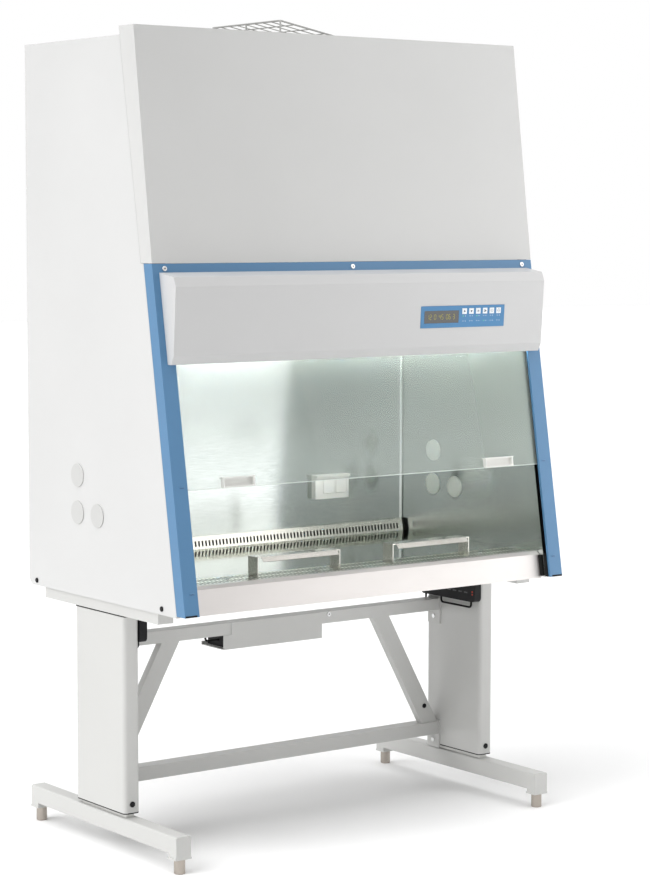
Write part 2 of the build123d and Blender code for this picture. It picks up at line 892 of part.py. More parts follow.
def upright_strip():
    top = kink_z
    wall = sheet / cos(lean)
    outer = [
        (lean_y(frame_z), frame_z), (lean_y(frame_z) + strip_flange, frame_z),
        (lean_y(top) + strip_flange, top), (lean_y(top), top),
    ]

    def space_behind(depth):
        low, high = frame_z - 10, top + 10
        return [
            (lean_y(low) + depth, low), (lean_y(low) + 2 * strip_flange, low),
            (lean_y(high) + 2 * strip_flange, high), (lean_y(high) + depth, high),
        ]

    strip = slab(outer, strip_inner, half_width)
    strip -= slab(space_behind(wall), strip_inner + sheet, half_width - sheet)
    return strip - slab(space_behind(strip_return), strip_inner - 1, strip_inner + sheet)


def front_frame():
    low = kink_z - top_strip_height
    path = [
        (lean_y(low) + top_strip_return, low), (lean_y(low), low),
        (lean_y(kink_z), kink_z), (lean_y(kink_z) + top_strip_return, kink_z),
    ]
    top = slab(folded(path, sheet), -strip_inner, strip_inner)
    uprights = both_sides(upright_strip())
    left_x, middle_x, right_x = fascia_screw_places
    screw_y = lean_y(fascia_screw_z)
    top -= bolt_hole(middle_x, screw_y, fascia_screw_z, to_front)
    uprights[0] -= bolt_hole(right_x, screw_y, fascia_screw_z, to_front)
    uprights[1] -= bolt_hole(left_x, screw_y, fascia_screw_z, to_front)
    return uprights + [top]


# ------------------------------------------------------------------ fascia and controls
def fascia_points():
    """Side view of the fascia, from its lower rear edge round the front."""
    back_low = (lean_y(fascia_bottom_z), fascia_bottom_z)
    face_low = (front_y + fascia_face_bottom, fascia_bottom_z)
    face_high = (front_y + fascia_face_top, fascia_top_z - fascia_face_top_drop)
    back_high = (lean_y(fascia_top_z), fascia_top_z)

    def toward(start, end, distance):
        length = hypot(end[0] - start[0], end[1] - start[1])
        share = distance / length
        return tuple(a + (b - a) * share for a, b in zip(start, end))

    return [
        back_low, toward(face_low, back_low, bevel_depth * 0.8),
        toward(face_low, face_high, bevel_face), toward(face_high, face_low, bevel_face),
        toward(face_high, back_high, bevel_depth), back_high,
    ]


def face_plane():
    """Plane on the middle of the control panel, its normal away from the fascia."""
    low_z, high_z = fascia_bottom_z, fascia_top_z - fascia_face_top_drop
    run = (fascia_face_top - fascia_face_bottom) / (high_z - low_z)
    y = front_y + fascia_face_bottom + (panel_z - low_z) * run
    length = hypot(1, run)
    return Plane(
        origin=(panel_x, y, panel_z), x_dir=(1, 0, 0), z_dir=(0, -1 / length, run / length)
    )


def on_face(x0, x1, up0, up1, out0, out1):
    """Box on the fascia's face, measured from the middle of the control panel."""
    return face_plane() * block(x0, x1, up0, up1, out0, out1)


def fascia():
    points = fascia_points()
    shell = slab(points, -fascia_half, fascia_half)
    inner_face = inset(points, fascia_wall)
    inner_half = fascia_half - fascia_wall
    hollow = extrude(Plane.YZ.offset(-inner_half) * inner_face, amount=2 * inner_half)
    shell -= [hollow, hollow.moved(Location((0, 2 * fascia_wall, 0)))]
    holder = extrude(Plane.YZ.offset(lamp_half - lamp_holder) * inner_face, amount=lamp_holder)
    for y, z in lamp_places:
        holder -= rod_x(lamp_half - 2 * lamp_holder, lamp_half + 1, front_y + y, z, lamp_radius)
    shell += both_sides(holder)
    width = panel_width / 2 + part_gap / 2
    height = panel_height / 2 + part_gap / 2
    return shell - on_face(-width, width, -height, height, -3 * fascia_wall, fascia_wall)


def lamp_tubes():
    return [
        rod_x(-lamp_half, lamp_half, front_y + y, z, lamp_radius) for y, z in lamp_places
    ]


def key_centre(index):
    """Centre of a key from the middle of the panel."""
    return key_first + index * key_pitch - panel_width / 2, panel_height / 2 - key_drop


def control_panel():
    width, height = panel_width / 2, panel_height / 2
    plate = on_face(-width, width, -height, height, -fascia_wall, panel_proud)
    lip = panel_flange
    plate += on_face(
        -width - lip, width + lip, -height - lip, height + lip,
        -fascia_wall - panel_flange_thick, -fascia_wall,
    )
    plate -= window_place(0)
    for index in range(key_count):
        x, up = key_centre(index)
        w, h = key_width / 2 + key_gap, key_height / 2 + key_gap
        plate -= on_face(x - w, x + w, up - h, up + h, panel_proud - key_pocket, panel_proud)
    return plate


def window_place(gap):
    left = window_left - panel_width / 2
    return on_face(
        left + gap, left + window_width - gap, gap - window_height / 2,
        window_height / 2 - gap, panel_proud - window_depth, panel_proud,
    )


def key(index):
    x, up = key_centre(index)
    w, h = key_width / 2, key_height / 2
    front = panel_proud + key_proud
    return on_face(x - w, x + w, up - h, up + h, front - key_length, front)


# ------------------------------------------------------------------ sash and balance
def sash_glass():
    low = slope(work_z + sash_opening)
    return lean_block(
        -glass_half, glass_half, low, low + sash_length, glass_depth, glass_depth + glass_thick
    )


def sash_fittings():
    """Finger grips on the glass and the clamps that hold it to the belts."""
    low = slope(work_z + sash_opening)
    parts = []
    for x in grip_places:
        half = grip_width / 2
        front = glass_depth - grip_out
        grip = lean_block(x - half, x + half, low, low + grip_height, front, glass_depth)
        grip -= lean_block(
            x - half + grip_wall, x + half - grip_wall,
            low + grip_wall, low + grip_height - grip_wall, front - 1, glass_depth - grip_wall,
        )
        edge = half + grip_lip
        high = low + grip_height
        parts.append(
            grip + lean_block(x - edge, x + edge, high - grip_lip_thick, high, front, glass_depth)
        )
    top = low + sash_length
    back = glass_depth + glass_thick
    belt_front = pulley_depth - pulley_radius - run_gap - belt_thick - run_gap
    arm = lean_block(
        clamp_inner, clamp_outer, top - clamp_length, top, guide_back + 1, belt_front
    )
    web = lean_block(
        clamp_inner, clamp_inner + clamp_web, top - clamp_length, top, back, guide_back + 1
    )
    return parts + both_sides(arm + web)


def sash_guides():
    """Guide channels, pulley axles and the lower belt shoes."""
    low, high = slope(guide_bottom_z), slope(guide_top_z)
    channel = lean_block(guide_inner, guide_outer, low, high, sheet, guide_back)
    channel -= lean_block(
        guide_inner - 1, glass_half + 1, low - 1, high + 1, guide_slot_front, guide_slot_back
    )
    axle = lean_rod(pulley_high_z, axle_inner, half_width - sheet, axle_radius)
    shoe = lean_rod(pulley_low_z, belt_x - belt_width / 2, half_width - sheet, axle_radius)
    half = belt_width / 2
    shoe += lean_rod(pulley_low_z, belt_x - half, belt_x + half, pulley_radius)
    return both_sides(channel, axle, shoe)


def lean_rod(z, x0, x1, radius):
    """Rod along X at the pulleys' depth, at the height given on the lean."""
    y, height = pulley_centre(z)
    return rod_x(x0, x1, y, height, radius)


def pulley_centre(z):
    along = slope(z)
    y = front_y + along * sin(lean) + pulley_depth * cos(lean)
    return y, frame_z + along * cos(lean) - pulley_depth * sin(lean)


def sash_belts():
    low_y, low_z = pulley_centre(pulley_low_z)
    span = slope(pulley_high_z) - slope(pulley_low_z)
    inner = pulley_radius + run_gap
    place = Plane(
        origin=(belt_x - belt_width / 2, low_y, low_z),
        x_dir=(0, sin(lean), cos(lean)), z_dir=(1, 0, 0),
    )
    middle = Pos(span / 2, 0, 0)
    band = SlotCenterToCenter(span, 2 * (inner + belt_thick)) - SlotCenterToCenter(span, 2 * inner)
    return both_sides(extrude(place * (middle * band), amount=belt_width))


def pulleys():
    half = pulley_width / 2
    wheel = lean_rod(pulley_high_z, belt_x - half, belt_x + half, pulley_radius)
    for x in (belt_x - half, belt_x + half - pulley_flange_thick):
        wheel += lean_rod(pulley_high_z, x, x + pulley_flange_thick, pulley_radius + pulley_flange)
    wheel -= lean_rod(pulley_high_z, axle_inner, half_width, axle_radius + bore_gap)
    return both_sides(wheel)


def counterweights():
    middle = slope(weight_z)
    front = pulley_depth + pulley_radius + belt_thick + 2 * run_gap
    half = weight_length / 2
    weight = lean_block(
        weight_inner, weight_outer, middle - half, middle + half, front, front + weight_depth
    )
    return both_sides(weight)


# ------------------------------------------------------------------ work chamber
def side_liner():
    front, clear = liner_front_gap, liner_clamp_gap
    back = chamber_y - cove_radius
    step_z = fascia_bottom_z + liner_step_rise
    outline = [
        (lean_y(floor_z) + front, floor_z), (back, floor_z),
        (back, ceiling_z), (lean_y(ceiling_z) + clear, ceiling_z),
        (lean_y(step_z) + clear, step_z), (lean_y(step_z) + front, step_z),
    ]
    liner = slab(outline, chamber_half, chamber_half + liner_sheet)
    for y, z in port_places:
        liner -= rod_x(chamber_half - 1, chamber_half + 5, front_y + y, z, port_radius)
    return liner


def rear_liner():
    """Rear wall with coved upright corners that meet the side liners."""
    low = work_z + rear_band_height - liner_sheet
    start = chamber_y - cove_radius
    reach = start - 4 * cove_radius
    half = chamber_half + liner_sheet
    outer = block(-half, half, reach, chamber_y + liner_sheet, low, ceiling_z)
    inner = block(
        -chamber_half, chamber_half, reach - 1, chamber_y, low - 1, ceiling_z + 1
    )
    outer = fillet(
        outer.edges().filter_by(Axis.Z).group_by(Axis.Y)[-1], cove_radius + liner_sheet
    )
    inner = fillet(inner.edges().filter_by(Axis.Z).group_by(Axis.Y)[-1], cove_radius)
    return outer - inner - block(-half - 1, half + 1, reach - 1, start, low - 1, ceiling_z + 1)


def slot_row(width, pitch):
    """Centres of slots that fill a width."""
    count = int(width // pitch)
    return [(index - (count - 1) / 2) * pitch for index in range(count)]


def rear_slot_panel():
    front = chamber_y - rear_band_depth
    top = work_z + rear_band_height
    path = [(front, ledge_z), (front, work_z), (front + rear_band_lean, top), (chamber_y, top)]
    half = chamber_half - cove_radius
    panel = slab(folded(path, liner_sheet), -half, half)
    middle = work_z + rear_slot_rise
    low, high = middle - rear_slot_height / 2, middle + rear_slot_height / 2
    back = front + rear_band_lean + liner_sheet
    cuts = [
        block(x - slot_width / 2, x + slot_width / 2, front - 1, back, low, high)
        for x in slot_row(2 * half - 2 * slot_pitch, slot_pitch)
    ]
    return panel - cuts


def drain_pan():
    half = chamber_half - part_gap
    y0, y1 = front_y + grille_front, chamber_y - rear_band_depth + liner_sheet
    wall = liner_sheet
    pan = block(-half, half, y0, y1, pan_z, ledge_z)
    pan -= block(
        -half + wall, half - wall, y0 + wall, y1 - wall, pan_z + wall, ledge_z - wall
    )
    ledge = wall + pan_ledge
    pan -= block(
        -half + ledge, half - ledge, y0 + ledge, y1 - ledge, pan_z + wall, ledge_z + 1
    )
    for x in (-half / 2, half / 2):
        pan += block(x - pan_rib, x + pan_rib, y0 + ledge, y1 - ledge, floor_z, pan_z)
    return pan


def front_grille():
    half = chamber_half - part_gap - liner_sheet
    y0, y1 = front_y + grille_front, front_y + grille_back
    wall = liner_sheet
    grille = block(-half, half, y0, y1, ledge_z, work_z)
    grille -= block(
        -half + wall, half - wall, y0 + wall, y1 - wall, ledge_z - 1, work_z - wall
    )
    cuts = []
    for row in grille_rows:
        for x in slot_row(2 * half - 2 * slot_pitch, slot_pitch):
            cuts.append(block(
                x - slot_width / 2, x + slot_width / 2,
                front_y + row - grille_slot / 2, front_y + row + grille_slot / 2,
                work_z - 3, work_z + 1,
            ))
    return grille - cuts


def work_surface():
    half = chamber_half - part_gap - liner_sheet
    y0 = front_y + grille_back + liner_sheet
    y1 = chamber_y - rear_band_depth - liner_sheet
    wall = liner_sheet
    low = ledge_z + rest_gap
    plate = block(-half, half, y0, y1, low, work_z)
    return plate - block(-half + wall, half - wall, y0 + wall, y1 - wall, low - 1, work_z - wall)


def sill():
    top = work_z + sill_top_rise
    path = [
        (front_y + sill_foot_back, base_z), (front_y + sill_face_bottom, base_z),
        (front_y + sill_face_top, base_z + sill_face_height), (front_y + sill_nose, top),
        (front_y + sill_top_back, top),
    ]
    return slab(folded(path, sill_sheet), -sill_half, sill_half)


def armrest(x):
    half = armrest_length / 2
    y0 = front_y + armrest_front
    y1 = y0 + armrest_depth
    low, top = work_z + rest_gap, work_z + armrest_height
    wall = armrest_sheet
    rest = block(x - half, x + half, y0, y1, low, top)
    rest -= block(x - half + wall, x + half - wall, y0 - 1, y1 + 1, low - 1, top - wall)
    lip = folded([(y0 - armrest_lip, top - armrest_lip), (y0, top), (y0 + wall, top)], wall)
    return rest + slab(lip, x - half + armrest_lip, x + half - armrest_lip)


def port_plugs():
    """Caps on both walls of each service port."""
    parts = []
    for y, z in port_places:
        y = front_y + y
        spigot = port_radius - run_gap
        outer = rod_x(half_width, half_width + port_proud, y, z, port_flange)
        outer += rod_x(half_width - port_spigot, half_width, y, z, spigot)
        inner = rod_x(chamber_half - port_proud, chamber_half, y, z, port_flange)
        inner += rod_x(chamber_half, chamber_half + port_spigot, y, z, spigot)
        parts += both_sides(outer, inner)
    return parts


def outlet_box():
    face = chamber_y - outlet_depth
    box = block(outlet_left, outlet_right, face, chamber_y, outlet_low_z, outlet_high_z)
    box += block(
        outlet_left, outlet_right, face - hood_depth, face,
        outlet_high_z - hood_height, outlet_high_z,
    )
    for left in flap_places:
        x, z = left + flap_size / 2, flap_top_z - flap_size / 2
        box -= rod_y(x, face - 1, face + socket_depth, z, socket_radius)
    return box


def outlet_flap(left):
    back = chamber_y - outlet_depth - run_gap
    return block(
        left, left + flap_size, back - flap_thick, back, flap_top_z - flap_size, flap_top_z
    )


# ------------------------------------------------------------------ air system
def diffuser():
    half = chamber_half + liner_sheet
    y0, y1 = front_y + diffuser_front, chamber_y - cove_radius
    plate = block(-half, half, y0, y1, ceiling_z, ceiling_z + liner_sheet)
    step_x = 2 * chamber_half / diffuser_columns
    step_y = (y1 - y0) / diffuser_rows
    cuts = []
    for column in range(diffuser_columns):
        x = (column - (diffuser_columns - 1) / 2) * step_x
        for row in range(diffuser_rows):
            y = y0 + (row + 0.5) * step_y
            cuts.append(block(
                x - slot_width / 2, x + slot_width / 2,
                y - diffuser_slot / 2, y + diffuser_slot / 2, ceiling_z - 1, ceiling_z + 5,
            ))
    return plate - cuts


def pleated_filter(half, y0, y1, z0, z1):
    """Filter cell: a deep frame with a pleated pack between its walls."""
    cell = block(-half, half, y0, y1, z0, z1)
    cell -= block(
        -half + filter_wall, half - filter_wall, y0 + filter_wall, y1 - filter_wall,
        z0 - 1, z1 + 1,
    )
    count = int((2 * half - 2 * filter_wall) // pleat_pitch)
    start = -half + filter_wall
    pitch = (2 * half - 2 * filter_wall) / count
    low, high, fold = z0 + filter_wall, z1 - filter_wall, filter_wall / 2
    top = []
    bottom = []
    for index in range(count):
        x = start + index * pitch
        top += [(x, high - fold), (x + pitch / 2, high)]
        bottom += [(x, low), (x + pitch / 2, low + fold)]
    end = start + count * pitch
    outline = top + [(end, high - fold), (end, low)] + bottom[::-1]
    face = Plane.XZ.offset(-(y0 + filter_wall)) * make_face(Polyline(*outline, close=True))
    return cell + extrude(face, amount=-(y1 - y0 - 2 * filter_wall))


def filters():
    supply = pleated_filter(
        filter_half, front_y + filter_front, front_y + filter_back, filter_z, filter_top_z
    )
    exhaust = pleated_filter(
        exhaust_filter_half, front_y + exhaust_filter_front, front_y + exhaust_filter_back,
        plenum_top_z + fan_box_height, cap_top_z - sheet,
    )
    return [supply, exhaust]


def plenum_box():
    outline = [
        (front_y + filter_front, filter_top_z), (front_y + filter_back, filter_top_z),
        (front_y + filter_back, plenum_top_z), (front_y + plenum_top_front, plenum_top_z),
    ]
    box = slab(outline, -filter_half, filter_half)
    inner_half = filter_half - liner_sheet
    hollow = extrude(
        Plane.YZ.offset(-inner_half) * inset(outline, liner_sheet), amount=2 * inner_half
    )
    box -= [hollow, hollow.moved(Location((0, 0, -2 * liner_sheet)))]
    return box - rod_z(0, front_y + fan_box_y, plenum_top_z - 5, plenum_top_z + 1, fan_inlet)


def scroll_centre():
    return front_y + scroll_y, plenum_top_z - liner_sheet - scroll_radius


def supply_housing():
    """Scroll of the supply blower, hung from the plenum's roof, blowing down."""
    y, z = scroll_centre()
    x0, x1 = scroll_x - scroll_half, scroll_x + scroll_half
    wall = scroll_wall
    mouth = filter_top_z + filter_wall
    shell = rod_x(x0, x1, y, z, scroll_radius)
    shell += block(x0, x1, y, y + scroll_radius, mouth, z)
    inner = rod_x(x0 + wall, x1 - wall, y, z, scroll_radius - wall)
    inner += block(x0 + wall, x1 - wall, y + wall, y + scroll_radius - wall, mouth - 1, z)
    shell -= inner
    shell -= rod_x(x0 - 1, x1 + 1, y, z, scroll_inlet)
    for low, high in ((x0, x0 + wall), (x1 - wall, x1)):
        reach = scroll_inlet + wall
        shell += block(low, high, y - bearing_bar / 2, y + bearing_bar / 2, z - reach, z + reach)
    shell -= rod_x(x0 - 1, x1 + 1, y, z, shaft_radius + bore_gap)
    foot = block(
        x0, x1, y - bearing_bar, y + bearing_bar, z + scroll_radius - wall,
        plenum_top_z - liner_sheet,
    )
    return shell + foot


def supply_impeller():
    y, z = scroll_centre()
    plate = drum_plate
    wheel = rod_x(scroll_x - plate / 2, scroll_x + plate / 2, y, z, drum_radius)
    for x in (scroll_x - drum_half, scroll_x + drum_half - plate):
        ring = rod_x(x, x + plate, y, z, drum_radius)
        wheel += ring - rod_x(x - 1, x + plate + 1, y, z, drum_radius - drum_ring)
    reach = drum_half - plate / 2
    blade = block(
        scroll_x - reach, scroll_x + reach, -plate / 2, plate / 2,
        drum_radius - drum_ring + plate / 2, drum_radius - plate / 2,
    )
    blades = [
        Pos(0, y, z) * Rot(360 / drum_blades * index, 0, 0) * blade
        for index in range(drum_blades)
    ]
    return wheel + blades + rod_x(scroll_x - scroll_half, scroll_x + scroll_half, y, z, shaft_radius)


def exhaust_housing():
    """Square fan box between the plenum and the exhaust filter."""
    y = front_y + fan_box_y
    low, high = plenum_top_z, plenum_top_z + fan_box_height
    half, wall = fan_box_half, scroll_wall
    box = block(-half, half, y - half, y + half, low, high)
    box -= block(
        -half + wall, half - wall, y - half + wall, y + half - wall, low + wall, high + 1
    )
    box -= rod_z(0, y, low - 1, low + wall + 1, fan_inlet)
    bar = bearing_bar / 2
    box += block(-half + wall, half - wall, y - bar, y + bar, high - wall, high)
    box += rod_z(0, y, low + fan_height + 10, high, fan_motor_radius)
    return box - rod_z(0, y, low, high - 4 * wall, shaft_radius + bore_gap)


def exhaust_impeller():
    y = front_y + fan_box_y
    low = plenum_top_z + 2 * scroll_wall
    top = low + fan_height
    plate = drum_plate
    wheel = rod_z(0, y, top - plate, top, fan_radius)
    ring = rod_z(0, y, low, low + plate, fan_radius)
    wheel += ring - rod_z(0, y, low - 1, low + plate + 1, fan_inlet)
    blade = block(fan_motor_radius, fan_radius - 1, -plate / 2, plate / 2, low, top)
    blades = [
        Pos(0, y, 0) * Rot(0, 0, 360 / fan_blades * index) * blade
        for index in range(fan_blades)
    ]
    shaft_top = plenum_top_z + fan_box_height - 5 * scroll_wall
    return wheel + blades + rod_z(0, y, low, shaft_top, shaft_radius)


def exhaust_guard():
    """Sloping wire grille over the exhaust opening, on short legs."""
    y0, y1 = front_y + guard_front, front_y + guard_back
    high, low = cap_top_z + guard_high, cap_top_z + guard_low
    outline = [
        (guard_left, high), (guard_right, low),
        (guard_right, low - guard_wire), (guard_left, high - guard_wire),
    ]
    face = Plane.XZ.offset(-y0) * make_face(Polyline(*outline, close=True))
    guard = extrude(face, amount=-(y1 - y0))
    cell_x = (guard_right - guard_left - 2 * guard_edge + guard_wire) / guard_columns
    cell_y = (y1 - y0 - 2 * guard_edge + guard_wire) / guard_rows
    cuts = []
    for column in range(guard_columns):
        x = guard_left + guard_edge + column * cell_x
        for row in range(guard_rows):
            y = y0 + guard_edge + row * cell_y
            cuts.append(block(
                x, x + cell_x - guard_wire, y, y + cell_y - guard_wire, cap_top_z, high + 1
            ))
    guard -= cuts
    for y in (y0, (y0 + y1 - guard_edge) / 2, y1 - guard_edge):
        left = block(
            guard_left, guard_left + guard_edge, y, y + guard_edge,
            cap_top_z, high - guard_wire / 2 - guard_edge / 2,
        )
        right = block(
            guard_right - guard_edge, guard_right, y, y + guard_edge,
            cap_top_z, low - guard_wire / 2,
        )
        guard += [left, right]
    return guard


# ------------------------------------------------------------------ fasteners
def black_bolts():
    parts = []
    for y, z in side_bolt_places:
        parts.append(bolt(half_width, front_y + y, z, to_right))
    parts.append(bolt(brace_bolt_x, front_y + brace_front, brace_bolt_z, to_front))
    return both_sides(*parts)


def steel_screws():
    parts = []
    for y, z in bracket_bolt_places():
        parts += both_sides(bolt(leg_inner - bracket_thick, y, z, to_left))
    parts.append(bolt(beam_bolt_x, front_y + cross_front, beam_bolt_z, to_front, shank=False))
    for x in grille_screw_places:
        parts.append(bolt(x, front_y + grille_screw_y, work_z, Rot(0, 0, 0), shank=False))
    face = Rot(90 - frame_lean, 0, 0)
    for x in fascia_screw_places:
        parts.append(bolt(x, lean_y(fascia_screw_z), fascia_screw_z, face, shank=False))
    return parts


# ------------------------------------------------------------------ writing the files
def save(name, shapes):
    shapes = shapes if isinstance(shapes, list) else [shapes]
    solids = [solid for shape in shapes for solid in shape.solids()]
    body = solids[0] if len(solids) == 1 else Compound(solids)
    export_step(body, f"parts/{name}.step")


nodes = {
    "foot_beams": both_sides(foot_beam()),
    "inner_columns": both_sides(inner_column()),
    "outer_columns": both_sides(outer_column()),
    "column_seals": column_seals(),
    "top_beams": both_sides(*top_beam()),
    "plastic_plugs": plastic_plugs(),
    "cross_beams": [
        cross_beam(cross_upper_low, cross_upper_high),
        cross_beam(cross_lower_low, cross_lower_high),
    ],
    "braces": braces(),
    "control_tray": control_tray(),
    "lift_control_box": lift_control_box(),
    "motor_housings": both_sides(motor_housing()),
    "motor_cables": [shape(side) for side in (-1, 1) for shape in (motor_cable, cable_slack)],
    "side_panels": both_sides(side_panel()),
    "base_panel": base_panel(),
    "rear_panel": rear_panel(),
    "top_cap": top_cap(),
    "front_cover": front_cover(),
    "front_frame": front_frame(),
    "fascia": fascia(),
    "lamp_tubes": lamp_tubes(),
    "control_panel": control_panel(),
    "display_window": window_place(run_gap),
    "sash_glass": sash_glass(),
    "sash_fittings": sash_fittings(),
    "sash_guides": sash_guides(),
    "sash_belts": sash_belts(),
    "pulleys": pulleys(),
    "counterweights": counterweights(),
    "side_liners": both_sides(side_liner()),
    "rear_liner": rear_liner(),
    "rear_slot_panel": rear_slot_panel(),
    "drain_pan": drain_pan(),
    "front_grille": front_grille(),
    "work_surface": work_surface(),
    "sill": sill(),
    "port_plugs": port_plugs(),
    "outlet_box": outlet_box(),
    "diffuser": diffuser(),
    "filters": filters(),
    "plenum_box": plenum_box(),
    "blower_housings": [supply_housing(), exhaust_housing()],
    "supply_impeller": supply_impeller(),
    "exhaust_impeller": exhaust_impeller(),
    "exhaust_guard": exhaust_guard(),
    "black_bolts": black_bolts(),
    "steel_screws": steel_screws(),
}
for place, (x, y) in foot_stations().items():
    nodes[f"levelling_foot_{place}"] = levelling_foot(x, y)
for side, x in zip(("left", "right"), armrest_places):
    nodes[f"armrest_{side}"] = armrest(x)
for side, x in zip(("left", "right"), flap_places):
    nodes[f"outlet_flap_{side}"] = outlet_flap(x)
for index in range(key_count):
    nodes[f"key_{index + 1}"] = key(index)

for name, shapes in nodes.items():
    save(name, shapes)

pulley_y, pulley_z = pulley_centre(pulley_high_z)
fan_y, fan_z = scroll_centre()
belt_pitch_radius = pulley_radius + run_gap + belt_thick / 2
print(f"nodes {len(nodes)}")
print(f"pulley axis y {pulley_y:.3f} z {pulley_z:.3f}, belt pitch radius {belt_pitch_radius:.2f}")
print(f"supply fan axis y {fan_y:.3f} z {fan_z:.3f}, exhaust fan axis y {front_y + fan_box_y:.3f}")
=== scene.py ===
# %% [markdown]
# # Biosafety cabinet on a height-adjustable stand
#
# A class II cabinet keeps a worker, a sample and a room apart with moving air. Its shell is folded
# and powder-coated steel, its work chamber is brushed stainless steel that can be wiped sterile,
# and a counterbalanced glass sash leans in front. The solids give the exact shape of every part.
# The cells below give each part the finish that its maker gives it, and add the fine pieces that a
# fitter adds last: seals, indicator lamps, painted shade in the screw sockets, a welded guard and
# hinged covers.

# %% Load the solids
import math
import bmesh
import bpy
from mathutils import Matrix, Vector


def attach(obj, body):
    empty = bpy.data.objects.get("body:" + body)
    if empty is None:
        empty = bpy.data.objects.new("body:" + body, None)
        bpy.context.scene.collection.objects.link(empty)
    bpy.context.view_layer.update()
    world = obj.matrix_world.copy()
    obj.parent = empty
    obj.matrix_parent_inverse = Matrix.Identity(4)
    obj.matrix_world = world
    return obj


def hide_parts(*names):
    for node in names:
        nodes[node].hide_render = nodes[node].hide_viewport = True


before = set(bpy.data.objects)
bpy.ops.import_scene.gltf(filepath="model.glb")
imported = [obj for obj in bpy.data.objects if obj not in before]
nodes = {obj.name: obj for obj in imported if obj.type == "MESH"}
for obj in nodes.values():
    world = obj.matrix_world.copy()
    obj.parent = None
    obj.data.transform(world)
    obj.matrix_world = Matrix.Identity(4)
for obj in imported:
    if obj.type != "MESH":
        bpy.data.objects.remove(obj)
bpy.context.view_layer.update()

# %% [markdown]
# ## Where things are
#
# The front frame leans back 9.45 degrees from a foot 688 mm above the floor, and the fascia carries
# the control panel on a face that overhangs a little. Both are flat, so two matrices turn "across,
# up along the face, out from the face" into places in the room.

# %% Faces
LEAN = math.radians(9.45)
HALF_WIDTH = 0.650
FRONT = -0.403
FRAME_FOOT = 0.688


def face(origin, up):
    """Matrix to the room from across, along and outward, for a face that looks to the front."""
    across = Vector((1, 0, 0))
    up = Vector(up).normalized()
    out = across.cross(up)
    turn = Matrix((across, up, out)).transposed().to_4x4()
    return Matrix.Translation(Vector(origin)) @ turn


frame_face = face((0, FRONT, FRAME_FOOT), (0, math.sin(LEAN), math.cos(LEAN)))
panel_face = face((0.3325, -0.328033, 1.4405), (0, -0.066519, 0.997785))
frame_out = frame_face.to_3x3() @ Vector((0, 0, 1))
print("outward from the frame", [round(value, 3) for value in frame_out])


def up_the_frame(height):
    """Distance up the leaning frame of a point at that height above the floor."""
    return (height - FRAME_FOOT) / math.cos(LEAN)


# %% [markdown]
# ## Camera
#
# A long lens, about 98 mm on a 36 mm frame, stands 6.9 m away at chest height and looks slightly
# down at the cabinet's left front corner. The long lens keeps the uprights nearly parallel, which
# is how such equipment is usually shown.

# %% Camera
camera_data = bpy.data.cameras.new("camera")
camera_data.sensor_fit = "VERTICAL"
camera_data.sensor_height = 36.0
camera_data.lens = 98.2
camera_data.shift_x = -0.0032
camera_data.shift_y = 0.0004
camera = bpy.data.objects.new("camera", camera_data)
bpy.context.collection.objects.link(camera)
bpy.context.scene.camera = camera
yaw, pitch, roll = math.radians(53.33), math.radians(-5.33), math.radians(0.117)
look = Vector((math.cos(yaw) * math.cos(pitch), math.sin(yaw) * math.cos(pitch), math.sin(pitch)))
side = look.cross(Vector((0, 0, 1))).normalized()
upward = side.cross(look)
turn = Matrix((side, upward, -look)).transposed().to_4x4() @ Matrix.Rotation(roll, 4, "Z")
camera.matrix_world = Matrix.Translation((-4.057, -5.591, 1.709)) @ turn
print("camera looks along", [round(value, 3) for value in look])

# %% [markdown]
# ## How a finish is built
#
# Every finish starts from one Principled shader. `noise` makes a pattern, which may be stretched
# into the long fine lines of an abrasive belt. `bump` raises the surface by it, `vary` drives a
# number of the shader, and `tone` gives the slight change of tone that keeps a large panel from
# looking like card. Patterns lie in object space, in metres, so they have their real size and stay
# put when a part moves.

# %% Finish helpers
NOISE_LOW, NOISE_HIGH = 0.3, 0.7    # the range that nearly all of the noise lies in


def finish(name, colour, roughness, metallic=0.0, **sockets):
    """A material with one Principled shader."""
    material = bpy.data.materials.new(name)
    material.use_nodes = True
    shader = material.node_tree.nodes["Principled BSDF"]
    shader.inputs["Base Color"].default_value = (*colour, 1)
    shader.inputs["Roughness"].default_value = roughness
    shader.inputs["Metallic"].default_value = metallic
    for socket, value in sockets.items():
        shader.inputs[socket.replace("_", " ")].default_value = value
    return material


def add(material, kind, **values):
    """A node of that kind with its sockets set."""
    made = material.node_tree.nodes.new(kind)
    for key, value in values.items():
        made.inputs[key.replace("_", " ")].default_value = value
    return made


def join(material, start, end):
    """Links one socket to another."""
    material.node_tree.links.new(start, end)


def shader_of(material):
    """The Principled shader of a finish."""
    return material.node_tree.nodes["Principled BSDF"]


def noise(material, scale, detail=3.0, stretch=(1, 1, 1)):
    """Noise in object space; stretch makes it finer along an axis."""
    place = add(material, "ShaderNodeTexCoord")
    spread = add(material, "ShaderNodeMapping", Scale=stretch)
    pattern = add(material, "ShaderNodeTexNoise", Scale=scale, Detail=detail)
    join(material, place.outputs["Object"], spread.inputs["Vector"])
    join(material, spread.outputs["Vector"], pattern.inputs["Vector"])
    return pattern.outputs["Fac"]


def bump(material, height, depth, strength=1.0):
    """Bump of the given depth in metres, on top of any bump already there."""
    made = add(material, "ShaderNodeBump", Strength=strength, Distance=depth)
    target = shader_of(material).inputs["Normal"]
    if target.is_linked:
        join(material, target.links[0].from_socket, made.inputs["Normal"])
    join(material, height, made.inputs["Height"])
    join(material, made.outputs["Normal"], target)


def vary(material, pattern, socket, low, high):
    """Drives a number of the shader from a pattern, between low and high."""
    span = add(material, "ShaderNodeMapRange", From_Min=NOISE_LOW, From_Max=NOISE_HIGH,
               To_Min=low, To_Max=high)
    join(material, pattern, span.inputs["Value"])
    join(material, span.outputs["Result"], shader_of(material).inputs[socket])


